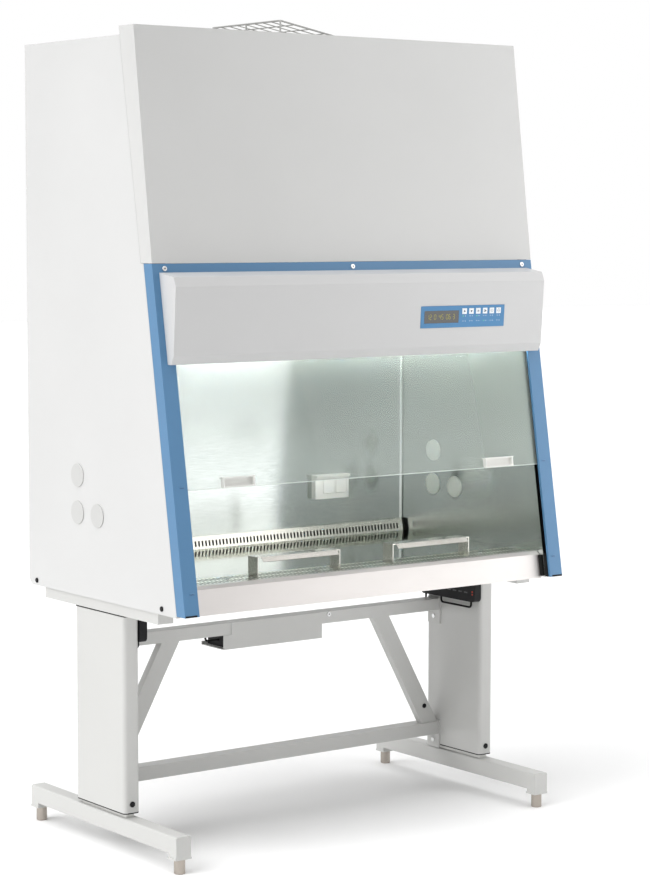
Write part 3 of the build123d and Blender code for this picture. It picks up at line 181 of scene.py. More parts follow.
def tone(material, pattern, dark, light):
    """Drives the colour from a pattern, between two tones."""
    ramp = material.node_tree.nodes.new("ShaderNodeValToRGB")
    ramp.color_ramp.elements[0].position = NOISE_LOW
    ramp.color_ramp.elements[0].color = (*dark, 1)
    ramp.color_ramp.elements[1].position = NOISE_HIGH
    ramp.color_ramp.elements[1].color = (*light, 1)
    join(material, pattern, ramp.inputs["Fac"])
    join(material, ramp.outputs["Color"], shader_of(material).inputs["Base Color"])


def shade(colour, factor):
    """The colour made lighter or darker."""
    return tuple(min(1.0, channel * factor) for channel in colour)


# %% [markdown]
# ## Painted steel
#
# The shell and the stand are powder coated. The powder is sprayed dry, charged so that it clings,
# and melts in an oven into a film about 80 micrometres thick. It never flows quite flat, so it
# keeps a faint orange peel with lumps about 2 mm wide. The shell is a warm white, the front cover
# and the fascia are light greys, and the stand is a greyer shade that hides scuffs.

# %% Powder coats
def powder_coat(name, colour, roughness, peel=0.00003):
    """Baked powder paint with orange peel of the given depth."""
    material = finish(name, colour, roughness, Coat_Weight=0.12, Coat_Roughness=0.25)
    bump(material, noise(material, 420.0, 2.0), peel, 0.5)
    tone(material, noise(material, 2.2, 4.0), shade(colour, 0.975), shade(colour, 1.015))
    vary(material, noise(material, 9.0, 5.0), "Roughness", roughness - 0.04, roughness + 0.05)
    return material


cabinet_white = powder_coat("cabinet_white", (0.60, 0.60, 0.595), 0.42)
cover_white = powder_coat("cover_white", (0.58, 0.58, 0.572), 0.40)
fascia_grey = powder_coat("fascia_grey", (0.56, 0.56, 0.56), 0.45)
frame_blue = powder_coat("frame_blue", (0.076, 0.205, 0.375), 0.32)
stand_paint = powder_coat("stand_paint", (0.56, 0.56, 0.545), 0.44)
print("powder coats made")

# %% [markdown]
# ## Stainless steel
#
# The chamber is lined with grade 304 sheet that was brushed with a belt. The belt leaves fine
# scratches all in one direction, which spread a reflection across them, so walls brushed upwards
# show soft upright bands of light. The sill and the grille are brushed coarser, which blurs what
# they reflect, and the work surface, which is wiped most, is close to a mirror.

# %% Brushed and polished steel
def brushed(name, colour, roughness, stretch, depth=0.00001, spread=None):
    """Metal with fine scratches; spread is the direction in which they smear a reflection."""
    material = finish(name, colour, roughness, metallic=1.0, Anisotropic=0.85 if spread else 0.4)
    if spread:
        along = add(material, "ShaderNodeCombineXYZ", X=spread[0], Y=spread[1], Z=spread[2])
        join(material, along.outputs["Vector"], shader_of(material).inputs["Tangent"])
    fine = noise(material, 55.0, 6.0, stretch)
    bump(material, fine, depth, 0.6)
    vary(material, fine, "Roughness", roughness - 0.07, roughness + 0.08)
    cloud = noise(material, 3.0, 3.0, tuple(min(2.0, value) for value in stretch))
    tone(material, cloud, shade(colour, 0.93), shade(colour, 1.05))
    return material


wall_steel = brushed("wall_steel", (0.53, 0.565, 0.55), 0.18, (0.6, 0.6, 25), 0.000003, (0, 0, 1))
# The drain pan is near-black: painted shade, so that it stays dark where it shows through the
# grille's slots and behind the rear slots.
pan_shade_steel = brushed("pan_shade_steel", (0.03, 0.031, 0.029), 0.5, (6, 6, 6))
sill_steel = brushed("sill_steel", (0.585, 0.56, 0.545), 0.40, (0.6, 30, 30))
tray_steel = brushed("tray_steel", (0.74, 0.74, 0.68), 0.07, (0.6, 25, 25), 0.000001)
band_steel = brushed("band_steel", (0.72, 0.71, 0.64), 0.24, (0.6, 25, 25), 0.000004)
grille_steel = brushed("grille_steel", (0.86, 0.85, 0.78), 0.36, (0.6, 25, 25), 0.000004)
bright_steel = brushed("bright_steel", (0.70, 0.67, 0.63), 0.24, (0.6, 30, 30))
foot_steel = brushed("foot_steel", (0.42, 0.38, 0.34), 0.40, (20, 20, 2))
column_metal = brushed("column_metal", (0.58, 0.58, 0.56), 0.42, (25, 25, 0.8))
cap_metal = brushed("cap_metal", (0.72, 0.72, 0.73), 0.35, (6, 6, 6))
guide_black = brushed("guide_black", (0.03, 0.03, 0.032), 0.45, (25, 25, 0.8))
zinc = brushed("zinc", (0.60, 0.61, 0.62), 0.42, (6, 6, 6))
fan_metal = brushed("fan_metal", (0.68, 0.68, 0.69), 0.38, (6, 6, 6))
screw_metal = brushed("screw_metal", (0.66, 0.66, 0.66), 0.22, (8, 8, 8))
wire_metal = brushed("wire_metal", (0.36, 0.36, 0.35), 0.38, (8, 8, 8))
weight_metal = finish("weight_metal", (0.10, 0.10, 0.105), 0.6, metallic=0.6)
bump(weight_metal, noise(weight_metal, 160.0, 6.0), 0.0002)
vary(weight_metal, noise(weight_metal, 20.0), "Roughness", 0.5, 0.75)
print("metals made")

# %% [markdown]
# ## Plastics, rubber and glass
#
# Moulded plastic copies the spark-eroded texture of its tool, a fine grain a fraction of a
# millimetre wide. The sash is laminated safety glass, two panes with a film between, with the green
# of iron in its depth. Glass shows most where it is seen at a slant, so its share of reflection
# follows the Fresnel law.

# %% Plastics and rubber
def moulded(name, colour, roughness, depth=0.00003, shine=0.45):
    """Moulded plastic or rubber with a fine eroded grain."""
    material = finish(name, colour, roughness, Specular_IOR_Level=shine)
    bump(material, noise(material, 1500.0, 2.0), depth, 0.5)
    vary(material, noise(material, 30.0, 4.0), "Roughness", roughness - 0.05, roughness + 0.06)
    tone(material, noise(material, 6.0), shade(colour, 0.96), shade(colour, 1.03))
    return material


white_plastic = moulded("white_plastic", (0.80, 0.80, 0.77), 0.38)
dark_plastic = moulded("dark_plastic", (0.06, 0.06, 0.063), 0.5)
black_plastic = moulded("black_plastic", (0.012, 0.012, 0.013), 0.5, 0.00005, 0.16)
black_rubber = moulded("black_rubber", (0.010, 0.010, 0.010), 0.65, 0.00006, 0.12)
belt_black = moulded("belt_black", (0.02, 0.02, 0.02), 0.6)
panel_blue = moulded("panel_blue", (0.050, 0.205, 0.415), 0.36, 0.00001)
key_white = moulded("key_white", (0.82, 0.85, 0.88), 0.4, 0.00001)
display_black = finish("display_black", (0.012, 0.014, 0.012), 0.09, Coat_Weight=0.6)
vary(display_black, noise(display_black, 40.0), "Roughness", 0.06, 0.14)
print("plastics made")

# %% Port plugs: a paler tone inside the chamber, painted light for the dim light in there, and a darker tone outside
INNER_PAINTED_LIGHT, OUTER_DARKER = (0.88, 0.89, 0.85), (0.53, 0.53, 0.52)
port_white = moulded("port_white", (0.80, 0.80, 0.77), 0.38)
coordinates = add(port_white, "ShaderNodeTexCoord")
apart = add(port_white, "ShaderNodeSeparateXYZ")
outward = add(port_white, "ShaderNodeMath")
outward.operation = "ABSOLUTE"
outside = add(port_white, "ShaderNodeMapRange", From_Min=0.628, From_Max=0.645)
join(port_white, coordinates.outputs["Object"], apart.inputs["Vector"])
join(port_white, apart.outputs["X"], outward.inputs[0])
join(port_white, outward.outputs["Value"], outside.inputs["Value"])
# Inside the chamber the plugs get a paler tone as painted light; outside they are darker.
tone(port_white, outside.outputs["Result"], INNER_PAINTED_LIGHT, OUTER_DARKER)
print("plugs: pale within 0.628 m of the middle, dull beyond 0.645 m")

# %% Glass, lamps and filter paper
glass = finish("glass", (0.72, 0.80, 0.74), 0.03, Specular_IOR_Level=0.8)
slant = add(glass, "ShaderNodeFresnel", IOR=1.5)
cover = add(glass, "ShaderNodeMapRange", To_Min=0.11, To_Max=0.95)
join(glass, slant.outputs["Fac"], cover.inputs["Value"])
join(glass, cover.outputs["Result"], shader_of(glass).inputs["Alpha"])
vary(glass, noise(glass, 14.0, 5.0), "Roughness", 0.02, 0.06)

lamp_white = finish("lamp_white", (0.9, 0.9, 0.88), 0.3, Emission_Color=(1.0, 0.99, 0.95, 1),
                    Emission_Strength=60.0)
bump(lamp_white, noise(lamp_white, 300.0), 0.00002)
paper = finish("paper", (0.84, 0.84, 0.80), 0.9)
bump(paper, noise(paper, 900.0, 4.0), 0.0001)
tone(paper, noise(paper, 40.0), (0.80, 0.80, 0.76), (0.88, 0.88, 0.84))
print("glass, lamp and paper made")

# %% Each solid gets its finish
wear = {
    cabinet_white: "side_panels base_panel rear_panel top_cap",
    cover_white: "front_cover",
    fascia_grey: "fascia",
    frame_blue: "front_frame",
    stand_paint: "foot_beams outer_columns top_beams cross_beams braces control_tray",
    column_metal: "inner_columns",
    black_rubber: "column_seals motor_cables",
    black_plastic: "lift_control_box motor_housings black_bolts plastic_plugs",
    lamp_white: "lamp_tubes",
    panel_blue: "control_panel",
    display_black: "display_window",
    glass: "sash_glass",
    port_white: "port_plugs",
    white_plastic: "sash_fittings pulleys outlet_box outlet_flap_left outlet_flap_right",
    guide_black: "sash_guides",
    belt_black: "sash_belts",
    weight_metal: "counterweights",
    wall_steel: "side_liners rear_liner diffuser",
    pan_shade_steel: "drain_pan",
    band_steel: "rear_slot_panel",
    grille_steel: "front_grille",
    tray_steel: "work_surface",
    sill_steel: "sill",
    bright_steel: "armrest_left armrest_right",
    paper: "filters",
    zinc: "plenum_box blower_housings",
    fan_metal: "supply_impeller exhaust_impeller",
    wire_metal: "exhaust_guard",
    screw_metal: "steel_screws",
    key_white: " ".join(f"key_{number}" for number in range(1, 7)),
    foot_steel: " ".join(
        f"levelling_foot_{end}_{side}" for end in ("front", "rear") for side in ("left", "right")
    ),
}
dressed = 0
for material, names in wear.items():
    for name in names.split():
        for place in nodes[name].material_slots:
            place.material = material
        dressed += 1
print(f"{dressed} of {len(nodes)} nodes have a finish")

# %% [markdown]
# ## Making pieces
#
# Small parts are built in a local frame with mesh operators and then set on their face. `piece`
# cleans the mesh, gives it a finish and lets it ride with the body that carries it.

# %% Piece helpers
def piece(name, mesh, material, body, replaces=()):
    """Turns a finished bmesh in room coordinates into a named piece that rides with a body."""
    bmesh.ops.recalc_face_normals(mesh, faces=mesh.faces)
    data = bpy.data.meshes.new(name)
    mesh.to_mesh(data)
    mesh.free()
    data.materials.append(material)
    data.shade_smooth()
    data.set_sharp_from_angle(angle=math.radians(35))
    made = bpy.data.objects.new(name, data)
    bpy.context.collection.objects.link(made)
    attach(made, body)
    if replaces:
        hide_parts(*replaces)
    print(f"{name}: {len(data.polygons)} faces on {body}")
    return made


def box(mesh, low, high, matrix=Matrix(), round_edges=0.0):
    """Box between two corners, edges rounded."""
    low, high = Vector(low), Vector(high)
    middle = Matrix.Translation((low + high) / 2) @ Matrix.Diagonal((*(high - low), 1))
    corners = bmesh.ops.create_cube(mesh, size=1.0)["verts"]
    bmesh.ops.transform(mesh, matrix=middle, verts=corners)
    if round_edges:
        edges = list({edge for corner in corners for edge in corner.link_edges})
        done = bmesh.ops.bevel(mesh, geom=edges, offset=round_edges, segments=3, profile=0.5,
                               affect="EDGES", material=-1)
        corners = list({corner for side in done["faces"] for corner in side.verts} |
                       {corner for corner in corners if corner.is_valid})
    bmesh.ops.transform(mesh, matrix=matrix, verts=corners)


def rod(mesh, start, end, radius, segments=12, tip=None):
    """Round bar from start to end; tip is its radius at the end."""
    start, end = Vector(start), Vector(end)
    axis = end - start
    turn = axis.to_track_quat("Z", "Y").to_matrix().to_4x4()
    bmesh.ops.create_cone(
        mesh, cap_ends=True, segments=segments, radius1=radius,
        radius2=radius if tip is None else tip, depth=axis.length,
        matrix=Matrix.Translation((start + end) / 2) @ turn,
    )


# %% [markdown]
# ## Guard over the exhaust
#
# The filtered air leaves through the roof. A welded wire grille keeps boxes off the opening, and it
# slopes so that nothing can be stored on it. Rows and columns of 3 mm wire cross and are welded
# where they touch, and a stouter wire runs round the edge and down the six legs.

# %% Exhaust guard
GUARD_X = (-0.130, 0.189)
GUARD_Y = (-0.094, 0.239)
ROOF = 2.190
GUARD_TOP = (0.065, 0.006)
WIRE = 0.0015
EDGE_WIRE = 0.0025
COLUMNS, ROWS = 6, 8


def guard_height(x, radius):
    """Middle of a wire whose top lies in the guard's sloping plane."""
    share = (x - GUARD_X[0]) / (GUARD_X[1] - GUARD_X[0])
    return ROOF + GUARD_TOP[0] + (GUARD_TOP[1] - GUARD_TOP[0]) * share - radius


guard = bmesh.new()
left, right = GUARD_X[0] + EDGE_WIRE, GUARD_X[1] - EDGE_WIRE
near, far = GUARD_Y[0] + EDGE_WIRE, GUARD_Y[1] - EDGE_WIRE
for column in range(COLUMNS + 1):
    x = left + (right - left) * column / COLUMNS
    thick = EDGE_WIRE if column in (0, COLUMNS) else WIRE
    z = guard_height(x, thick)
    rod(guard, (x, near, z), (x, far, z), thick)
for row in range(ROWS + 1):
    y = near + (far - near) * row / ROWS
    thick = EDGE_WIRE if row in (0, ROWS) else WIRE
    drop = thick + (0 if row in (0, ROWS) else 1.6 * WIRE)
    rod(guard, (left, y, guard_height(left, drop)), (right, y, guard_height(right, drop)), thick)
for x in (left, right):
    for y in (near, (near + far) / 2, far):
        rod(guard, (x, y, ROOF), (x, y, guard_height(x, EDGE_WIRE)), EDGE_WIRE)
        bmesh.ops.create_uvsphere(
            guard, u_segments=10, v_segments=6, radius=EDGE_WIRE * 1.15,
            matrix=Matrix.Translation((x, y, guard_height(x, EDGE_WIRE))),
        )
piece("exhaust_guard_wires", guard, wire_metal, "cabinet", ["exhaust_guard"])

# %% [markdown]
# ## Seals beside the glass
#
# A soft lip seal fills the gap between the glass and each blue strip, so that room air can't slip
# past the edge of the sash. It is an extruded rubber bulb on a flat foot, glued to the edge that
# the strip turns towards the glass.

# %% Sash seals
SEAL_X, SEAL_FOOT, SEAL_HEAD, SEAL_DEPTH, SEAL_RADIUS = 0.6062, 0.076, 0.880, 0.0087, 0.0009
seals = bmesh.new()
for sign_x in (-1, 1):
    foot = frame_face @ Vector((sign_x * SEAL_X, SEAL_FOOT, -SEAL_DEPTH))
    head = frame_face @ Vector((sign_x * SEAL_X, SEAL_HEAD, -SEAL_DEPTH))
    rod(seals, foot, head, SEAL_RADIUS, 12)
    low, high = sorted((sign_x * 0.6052, sign_x * 0.6068))
    box(seals, (low, SEAL_FOOT, -0.0084), (high, SEAL_HEAD, -0.0079), frame_face)
piece("sash_seals", seals, black_rubber, "cabinet")

# %% [markdown]
# ## Control panel
#
# The panel is a blue film with printed windows over small lamps. Six keys raise and lower the
# cabinet and switch the light, the blower, the power and the socket. Behind the dark window are
# seven-segment numbers, an amber-green that stays readable next to a bright work chamber.

# %% Panel finishes
amber = finish("amber_segment", (0.05, 0.05, 0.01), 0.4, Emission_Color=(0.55, 0.50, 0.10, 1),
               Emission_Strength=0.55)
vary(amber, noise(amber, 900.0), "Roughness", 0.35, 0.5)
lit = finish("lit_lamp", (0.10, 0.45, 0.12), 0.3, Emission_Color=(0.25, 1.0, 0.30, 1),
             Emission_Strength=0.5)
vary(lit, noise(lit, 900.0), "Roughness", 0.25, 0.4)
unlit = finish("unlit_lamp", (0.62, 0.72, 0.80), 0.3)
vary(unlit, noise(unlit, 900.0), "Roughness", 0.25, 0.4)
ink = finish("ink", (0.03, 0.05, 0.09), 0.5)
vary(ink, noise(ink, 900.0), "Roughness", 0.45, 0.6)

# %% Numbers in the window
SEGMENTS = {
    "0": "abcdef", "1": "bc", "2": "abged", "3": "abgcd", "4": "fgbc",
    "5": "afgcd", "6": "afgedc", "7": "abc", "8": "abcdefg", "9": "abcdfg",
}
STROKES = {
    "a": (0, 1, True), "g": (0, 0, True), "d": (0, -1, True),
    "f": (-1, 0.5, False), "b": (1, 0.5, False), "e": (-1, -0.5, False), "c": (1, -0.5, False),
}
DIGIT_HALF_WIDTH, DIGIT_HALF_HEIGHT, STROKE = 0.0030, 0.0066, 0.0007
DIGITS = "12045063"
DIGIT_PLACES = (-0.126, -0.117, -0.101, -0.084, -0.075, -0.058, -0.049, -0.034)
to_panel = panel_face.inverted()
window_front = max((to_panel @ vertex.co).z for vertex in nodes["display_window"].data.vertices)
numbers = bmesh.new()
for place, digit in zip(DIGIT_PLACES, DIGITS):
    for name in SEGMENTS[digit]:
        across, up, level = STROKES[name]
        x, z = place + across * DIGIT_HALF_WIDTH, up * DIGIT_HALF_HEIGHT
        half = DIGIT_HALF_WIDTH if level else DIGIT_HALF_HEIGHT / 2
        size = (half - STROKE, STROKE) if level else (STROKE, half - STROKE)
        box(numbers, (x - size[0], z - size[1], window_front),
            (x + size[0], z + size[1], window_front + 0.0002), panel_face)
piece("display_numbers", numbers, amber, "cabinet")

# %% Indicator lamps and the signs on the keys
KEY_FIRST, KEY_PITCH, KEY_UP, KEY_FRONT = 0.0045, 0.025, 0.0145, 0.002
LAMP_ROWS, LAMP_ASIDE, LAMP_OUT, LAMP_RADIUS = (0.0008, -0.0132), 0.004, 0.001, 0.0013
LAMPS_LIT = ((0, 0), (2, 0), (3, 1))


def spot(mesh, x, up, out, radius, segments=20, height=0.0003, twist=0.0):
    """Flat printed or moulded spot on the panel's face."""
    set_down = Matrix.Translation((x, up, out + height / 2)) @ Matrix.Rotation(twist, 4, "Z")
    bmesh.ops.create_cone(mesh, cap_ends=True, segments=segments, radius1=radius,
                          radius2=radius * 0.92, depth=height, matrix=panel_face @ set_down)


bright, dim = bmesh.new(), bmesh.new()
for index in range(6):
    x = KEY_FIRST + index * KEY_PITCH
    for row, up in enumerate(LAMP_ROWS):
        first = bright if (index, row) in LAMPS_LIT else dim
        spot(first, x - LAMP_ASIDE, up, LAMP_OUT, LAMP_RADIUS)
        spot(dim, x + LAMP_ASIDE, up, LAMP_OUT, LAMP_RADIUS)
piece("lamps_on", bright, lit, "cabinet")
piece("lamps_off", dim, unlit, "cabinet")


def sign(index):
    """Sign on a key: up, down, light, fan, power and socket."""
    mesh = bmesh.new()
    x = KEY_FIRST + index * KEY_PITCH
    up, out = KEY_UP, KEY_FRONT
    if index in (0, 1):
        spot(mesh, x, up, out, 0.0042, 3, 0.0002, math.pi * index)
    elif index == 2:
        spot(mesh, x, up, out, 0.0020)
        for ray in range(8):
            angle = ray * math.pi / 4
            turn = panel_face @ Matrix.Translation((x, up, 0)) @ Matrix.Rotation(angle, 4, "Z")
            box(mesh, (0.0027, -0.0003, out), (0.0046, 0.0003, out + 0.0002), turn)
    elif index == 3:
        for blade in range(3):
            angle = blade * 2 * math.pi / 3
            spot(mesh, x + 0.0024 * math.cos(angle), up + 0.0024 * math.sin(angle), out, 0.0019, 12)
    elif index == 4:
        for part in range(10):
            angle = math.pi * (0.75 + part / 6)
            turn = panel_face @ Matrix.Translation((x, up, 0)) @ Matrix.Rotation(angle, 4, "Z")
            box(mesh, (0.0034, -0.0010, out), (0.0041, 0.0010, out + 0.0002), turn)
        box(mesh, (x - 0.0004, up, out), (x + 0.0004, up + 0.0045, out + 0.0002), panel_face)
    else:
        for offset in (-0.0022, 0.0022):
            spot(mesh, x + offset, up, out, 0.0009)
        for part in range(16):
            angle = math.pi * part / 8
            turn = panel_face @ Matrix.Translation((x, up, 0)) @ Matrix.Rotation(angle, 4, "Z")
            box(mesh, (0.0040, -0.0009, out), (0.0046, 0.0009, out + 0.0002), turn)
    return mesh


for index in range(6):
    piece(f"key_sign_{index + 1}", sign(index), ink, f"key_{index + 1}_cap")

# %% [markdown]
# ## Screws
#
# The fascia, the grille and the stand are held by stainless screws with a hexagon socket, pressed
# into the head when the screw is forged. Each socket is drawn as a flat black hexagon on the head,
# painted shade of its hollow, and that dark mark is what makes a screw look like one.

# %% Screw sockets
TOP_SCREWS_X, TOP_SCREWS_HEIGHT = (-0.613, 0.0, 0.613), 1.582
GRILLE_SCREWS_X, GRILLE_SCREWS_BACK = (-0.440, -0.145, 0.145, 0.440), 0.119
SIDE_SCREWS = ((0.354, 0.697), (-0.293, 0.699))
sockets = bmesh.new()


def socket(place, outward, radius=0.0024):
    """Flat black hexagon on a screw's head: painted shade of the socket's hollow."""
    place, outward = Vector(place), Vector(outward).normalized()
    rod(sockets, place, place + outward * 0.0002, radius, 6, radius * 0.85)


for x in TOP_SCREWS_X:
    socket(frame_face @ Vector((x, up_the_frame(TOP_SCREWS_HEIGHT), 0.003)), frame_out)
for x in GRILLE_SCREWS_X:
    socket((x, FRONT + GRILLE_SCREWS_BACK, 0.760), (0, 0, 1))
socket((0.175, FRONT + 0.490 - 0.003, 0.557), (0, -1, 0))
for sign_x in (-1, 1):
    for y, z in SIDE_SCREWS:
        socket((sign_x * (HALF_WIDTH + 0.003), y, z), (sign_x, 0, 0))
piece("screw_sockets", sockets, black_plastic, "cabinet")

# %% Covers of the strips' fixing holes
STRIP_HOLE_X, STRIP_HOLE_HEIGHTS = 0.6225, (1.020, 0.748)
covers, slits = bmesh.new(), bmesh.new()
for x in (-STRIP_HOLE_X, STRIP_HOLE_X):
    for height in STRIP_HOLE_HEIGHTS:
        up = up_the_frame(height)
        box(covers, (x - 0.0085, up - 0.0028, 0), (x + 0.0085, up + 0.0028, 0.0011),
            frame_face, 0.0005)
        box(slits, (x - 0.0062, up - 0.0024, 0.0010), (x + 0.0048, up - 0.0012, 0.0013),
            frame_face)
piece("strip_hole_covers", covers, frame_blue, "cabinet")
# The slits are flat dark-blue strips laid on the covers: painted shade of the slits' hollows.
slit_shade_blue = powder_coat("slit_shade_blue", (0.02, 0.06, 0.14), 0.35)
piece("strip_hole_slits", slits, slit_shade_blue, "cabinet")

# %% [markdown]
# ## Black pads
#
# Where sheet edges end in the operator's reach they are covered. A black cap closes the foot of
# each blue strip, and a black pad fills the corner between the sill and the wall.

# %% Strip feet and sill ends
feet, pads = bmesh.new(), bmesh.new()
sill_face = face((0, FRONT + 0.032, FRAME_FOOT), (0, 0.011, 0.0625))
for sign_x in (-1, 1):
    low, high = sorted((sign_x * 0.6120, sign_x * 0.6485))
    box(feet, (low, 0.0002, 0), (high, 0.0052, 0.0007), frame_face, 0.0003)
    low, high = sorted((sign_x * 0.5935, sign_x * 0.5998))
    box(pads, (low, 0.0005, 0.0002), (high, 0.0610, 0.0082), sill_face, 0.0012)
piece("strip_foot_caps", feet, black_plastic, "cabinet")
piece("sill_end_pads", pads, black_rubber, "cabinet")

# %% [markdown]
# ## Painted shade in the grille
#
# The front grille draws room air down before it can reach the sample. Flat black strips just under
# the top face fill its slots: painted shade, so every slot looks dark from above.

# %% Painted shade in the slots
slot_shade_black = moulded("slot_shade_black", (0.034, 0.031, 0.026), 0.85, 0.00008, 0.0)
SLOT_PITCH, SLOT_COUNT, SLOT_ROWS = 0.0122, 96, (0.095, 0.143)
SLOT_SHADE_HALF_WIDTH, SLOT_SHADE_HALF_LENGTH, SLOT_SHADE_BOTTOM, SLOT_SHADE_TOP = 0.0028, 0.0177, 0.7558, 0.75692
shade_strips = bmesh.new()
for index in range(SLOT_COUNT):
    x = (index - (SLOT_COUNT - 1) / 2) * SLOT_PITCH
    for row in SLOT_ROWS:
        y = FRONT + row
        box(shade_strips, (x - SLOT_SHADE_HALF_WIDTH, y - SLOT_SHADE_HALF_LENGTH, SLOT_SHADE_BOTTOM),
            (x + SLOT_SHADE_HALF_WIDTH, y + SLOT_SHADE_HALF_LENGTH, SLOT_SHADE_TOP))
piece("grille_slot_shade", shade_strips, slot_shade_black, "cabinet")

# %% [markdown]
# ## Edge of the glass
#
# The lower edge of the sash is ground flat and its corners are broken, so that it can't cut a hand.
# Ground glass scatters light and shows as a pale line.

# %% Ground edge
GLASS_FOOT, GLASS_HALF = up_the_frame(1.011), 0.618
ground_glass = finish("ground_glass", (0.78, 0.84, 0.80), 0.5, Specular_IOR_Level=0.6)
bump(ground_glass, noise(ground_glass, 900.0, 3.0), 0.00003)
vary(ground_glass, noise(ground_glass, 60.0), "Roughness", 0.4, 0.6)
edge = bmesh.new()
box(edge, (-GLASS_HALF, GLASS_FOOT - 0.0004, -0.0161),
    (GLASS_HALF, GLASS_FOOT + 0.0012, -0.0099), frame_face, 0.0003)
piece("sash_ground_edge", edge, ground_glass, "sash")

# %% [markdown]
# ## Socket covers
#
# Each of the two sockets on the rear wall has a spring cover that keeps spilled liquid out. It is a
# moulded tile with rounded edges, a raised rim and a lip at the bottom for a fingertip.

# %% Socket covers
FLAP, FLAP_TOP, FLAP_BACK, FLAP_THICK = 0.043, 0.932, 0.2617, 0.0022
LIP_INSET, LIP_RADIUS = 0.014, 0.0011
for name, body, x in (("left", "flap_l", 0.284), ("right", "flap_r", 0.330)):
    tile = bmesh.new()
    box(tile, (x, FLAP_BACK - FLAP_THICK, FLAP_TOP - FLAP), (x + FLAP, FLAP_BACK, FLAP_TOP),
        round_edges=0.0009)
    front = min(tile.faces, key=lambda face: face.calc_center_median().y)
    bmesh.ops.inset_region(tile, faces=[front], thickness=0.0028, depth=0.0)
    bmesh.ops.inset_region(tile, faces=[front], thickness=0.0006, depth=-0.0006)
    lip_y, lip_z = FLAP_BACK - 0.0024, FLAP_TOP - FLAP + 0.0016
    rod(tile, (x + LIP_INSET, lip_y, lip_z), (x + FLAP - LIP_INSET, lip_y, lip_z), LIP_RADIUS)
    piece(f"socket_cover_{name}", tile, white_plastic, body,
          [f"outlet_flap_{name}"])

# %% [markdown]
# ## Lamps and the lifting gear
#
# Two fluorescent tubes hide behind the fascia, each with crimped aluminium end caps. The black
# motor housings at the tops of the legs have air ribs, and the right one shows two red marks.

# %% Lamp caps
caps = bmesh.new()
for y, z in ((FRONT + 0.108, 1.507), (FRONT + 0.106, 1.457)):
    for sign_x in (-1, 1):
        rod(caps, (sign_x * 0.571, y, z), (sign_x * 0.591, y, z), 0.0134, 32)
        rod(caps, (sign_x * 0.566, y, z), (sign_x * 0.571, y, z), 0.0131, 32, 0.0134)
piece("lamp_caps", caps, cap_metal, "cabinet")

# %% Ribs and mark of the motor housings
RIB_COUNT, RIB_FIRST, RIB_PITCH = 7, -0.060, 0.026
ribs = bmesh.new()
for sign_x in (-1, 1):
    for index in range(RIB_COUNT):
        y = RIB_FIRST + index * RIB_PITCH
        low, high = sorted((sign_x * 0.5746, sign_x * 0.5752))
        box(ribs, (low, y - 0.008, 0.602), (high, y + 0.008, 0.606), round_edges=0.0004)
piece("motor_housing_ribs", ribs, dark_plastic, "cabinet")
mark = bmesh.new()
for z in (0.608, 0.600):
    rod(mark, (0.5752, -0.090, z), (0.5742, -0.090, z), 0.0028, 20, 0.0024)
red_plastic = moulded("red_plastic", (0.45, 0.035, 0.01), 0.35)
piece("motor_mark", mark, red_plastic, "cabinet")

# %% [markdown]
# ## Light and floor
#
# Product pictures of white equipment are taken on a white sweep with very large soft lamps, so
# shadows almost vanish. One broad light comes from the left of the operator and one from above, a
# weaker panel fills from the right, and the pale floor throws light up under the cabinet. The
# backdrop is white where it is seen or reflected, and dimmer as a source of light.

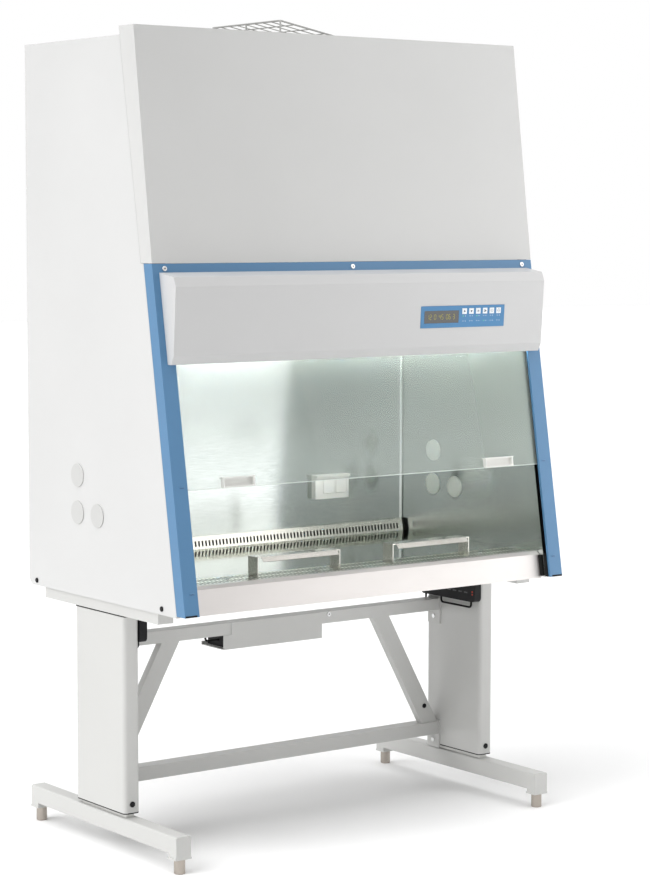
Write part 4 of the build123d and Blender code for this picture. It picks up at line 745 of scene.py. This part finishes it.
# %% Backdrop
world = bpy.data.worlds.new("studio")
bpy.context.scene.world = world
world.use_nodes = True
sky = world.node_tree
ambient = sky.nodes["Background"]
ambient.inputs["Color"].default_value = (1, 1, 1, 1)
ambient.inputs["Strength"].default_value = 0.30
white = sky.nodes.new("ShaderNodeBackground")
white.inputs["Color"].default_value = (1, 1, 1, 1)
white.inputs["Strength"].default_value = 1.0
rays = sky.nodes.new("ShaderNodeLightPath")
seen = rays.outputs["Is Camera Ray"]
for kind in ("Is Glossy Ray", "Is Transmission Ray"):
    either = sky.nodes.new("ShaderNodeMath")
    either.operation = "MAXIMUM"
    sky.links.new(seen, either.inputs[0])
    sky.links.new(rays.outputs[kind], either.inputs[1])
    seen = either.outputs["Value"]
choice = sky.nodes.new("ShaderNodeMixShader")
sky.links.new(seen, choice.inputs["Fac"])
sky.links.new(ambient.outputs["Background"], choice.inputs[1])
sky.links.new(white.outputs["Background"], choice.inputs[2])
sky.links.new(choice.outputs["Shader"], sky.nodes["World Output"].inputs["Surface"])
print("backdrop made")


# %% Lamps
def soft_light(name, place, target, size, power):
    """Large soft panel that looks at its target."""
    data = bpy.data.lights.new(name, "AREA")
    data.shape = "RECTANGLE"
    data.size, data.size_y = size
    data.energy = power
    lamp = bpy.data.objects.new(name, data)
    bpy.context.collection.objects.link(lamp)
    aim = Vector(target) - Vector(place)
    turn = aim.to_track_quat("-Z", "Y").to_matrix().to_4x4()
    lamp.matrix_world = Matrix.Translation(place) @ turn


def wide_light(name, direction, strength, spread):
    """Very large far lamp: light that arrives from a broad patch of the studio."""
    data = bpy.data.lights.new(name, "SUN")
    data.energy = strength
    data.angle = math.radians(spread)
    lamp = bpy.data.objects.new(name, data)
    bpy.context.collection.objects.link(lamp)
    lamp.rotation_euler = Vector(direction).to_track_quat("-Z", "Y").to_euler()


wide_light("left_bank", (0.80, -0.04, -0.57), 2.3, 60)
wide_light("ceiling_bank", (0.05, 0.1, -1.0), 1.5, 60)
soft_light("right_fill", (1.7, -1.5, 1.7), (0.3, 0, 1.5), (1.6, 2.6), 15)
print("two broad lights and one panel")

# %% Floor and view
ground = bmesh.new()
bmesh.ops.create_grid(ground, x_segments=1, y_segments=1, size=30.0)
floor_data = bpy.data.meshes.new("floor")
ground.to_mesh(floor_data)
ground.free()
floor = bpy.data.objects.new("floor", floor_data)
bpy.context.collection.objects.link(floor)
floor_paint = finish("floor_paint", (0.97, 0.97, 0.97), 0.85)
tone(floor_paint, noise(floor_paint, 0.5), (0.965, 0.965, 0.965), (0.985, 0.985, 0.985))
floor_data.materials.append(floor_paint)
bpy.context.scene.view_settings.view_transform = "Standard"
print("floor laid")
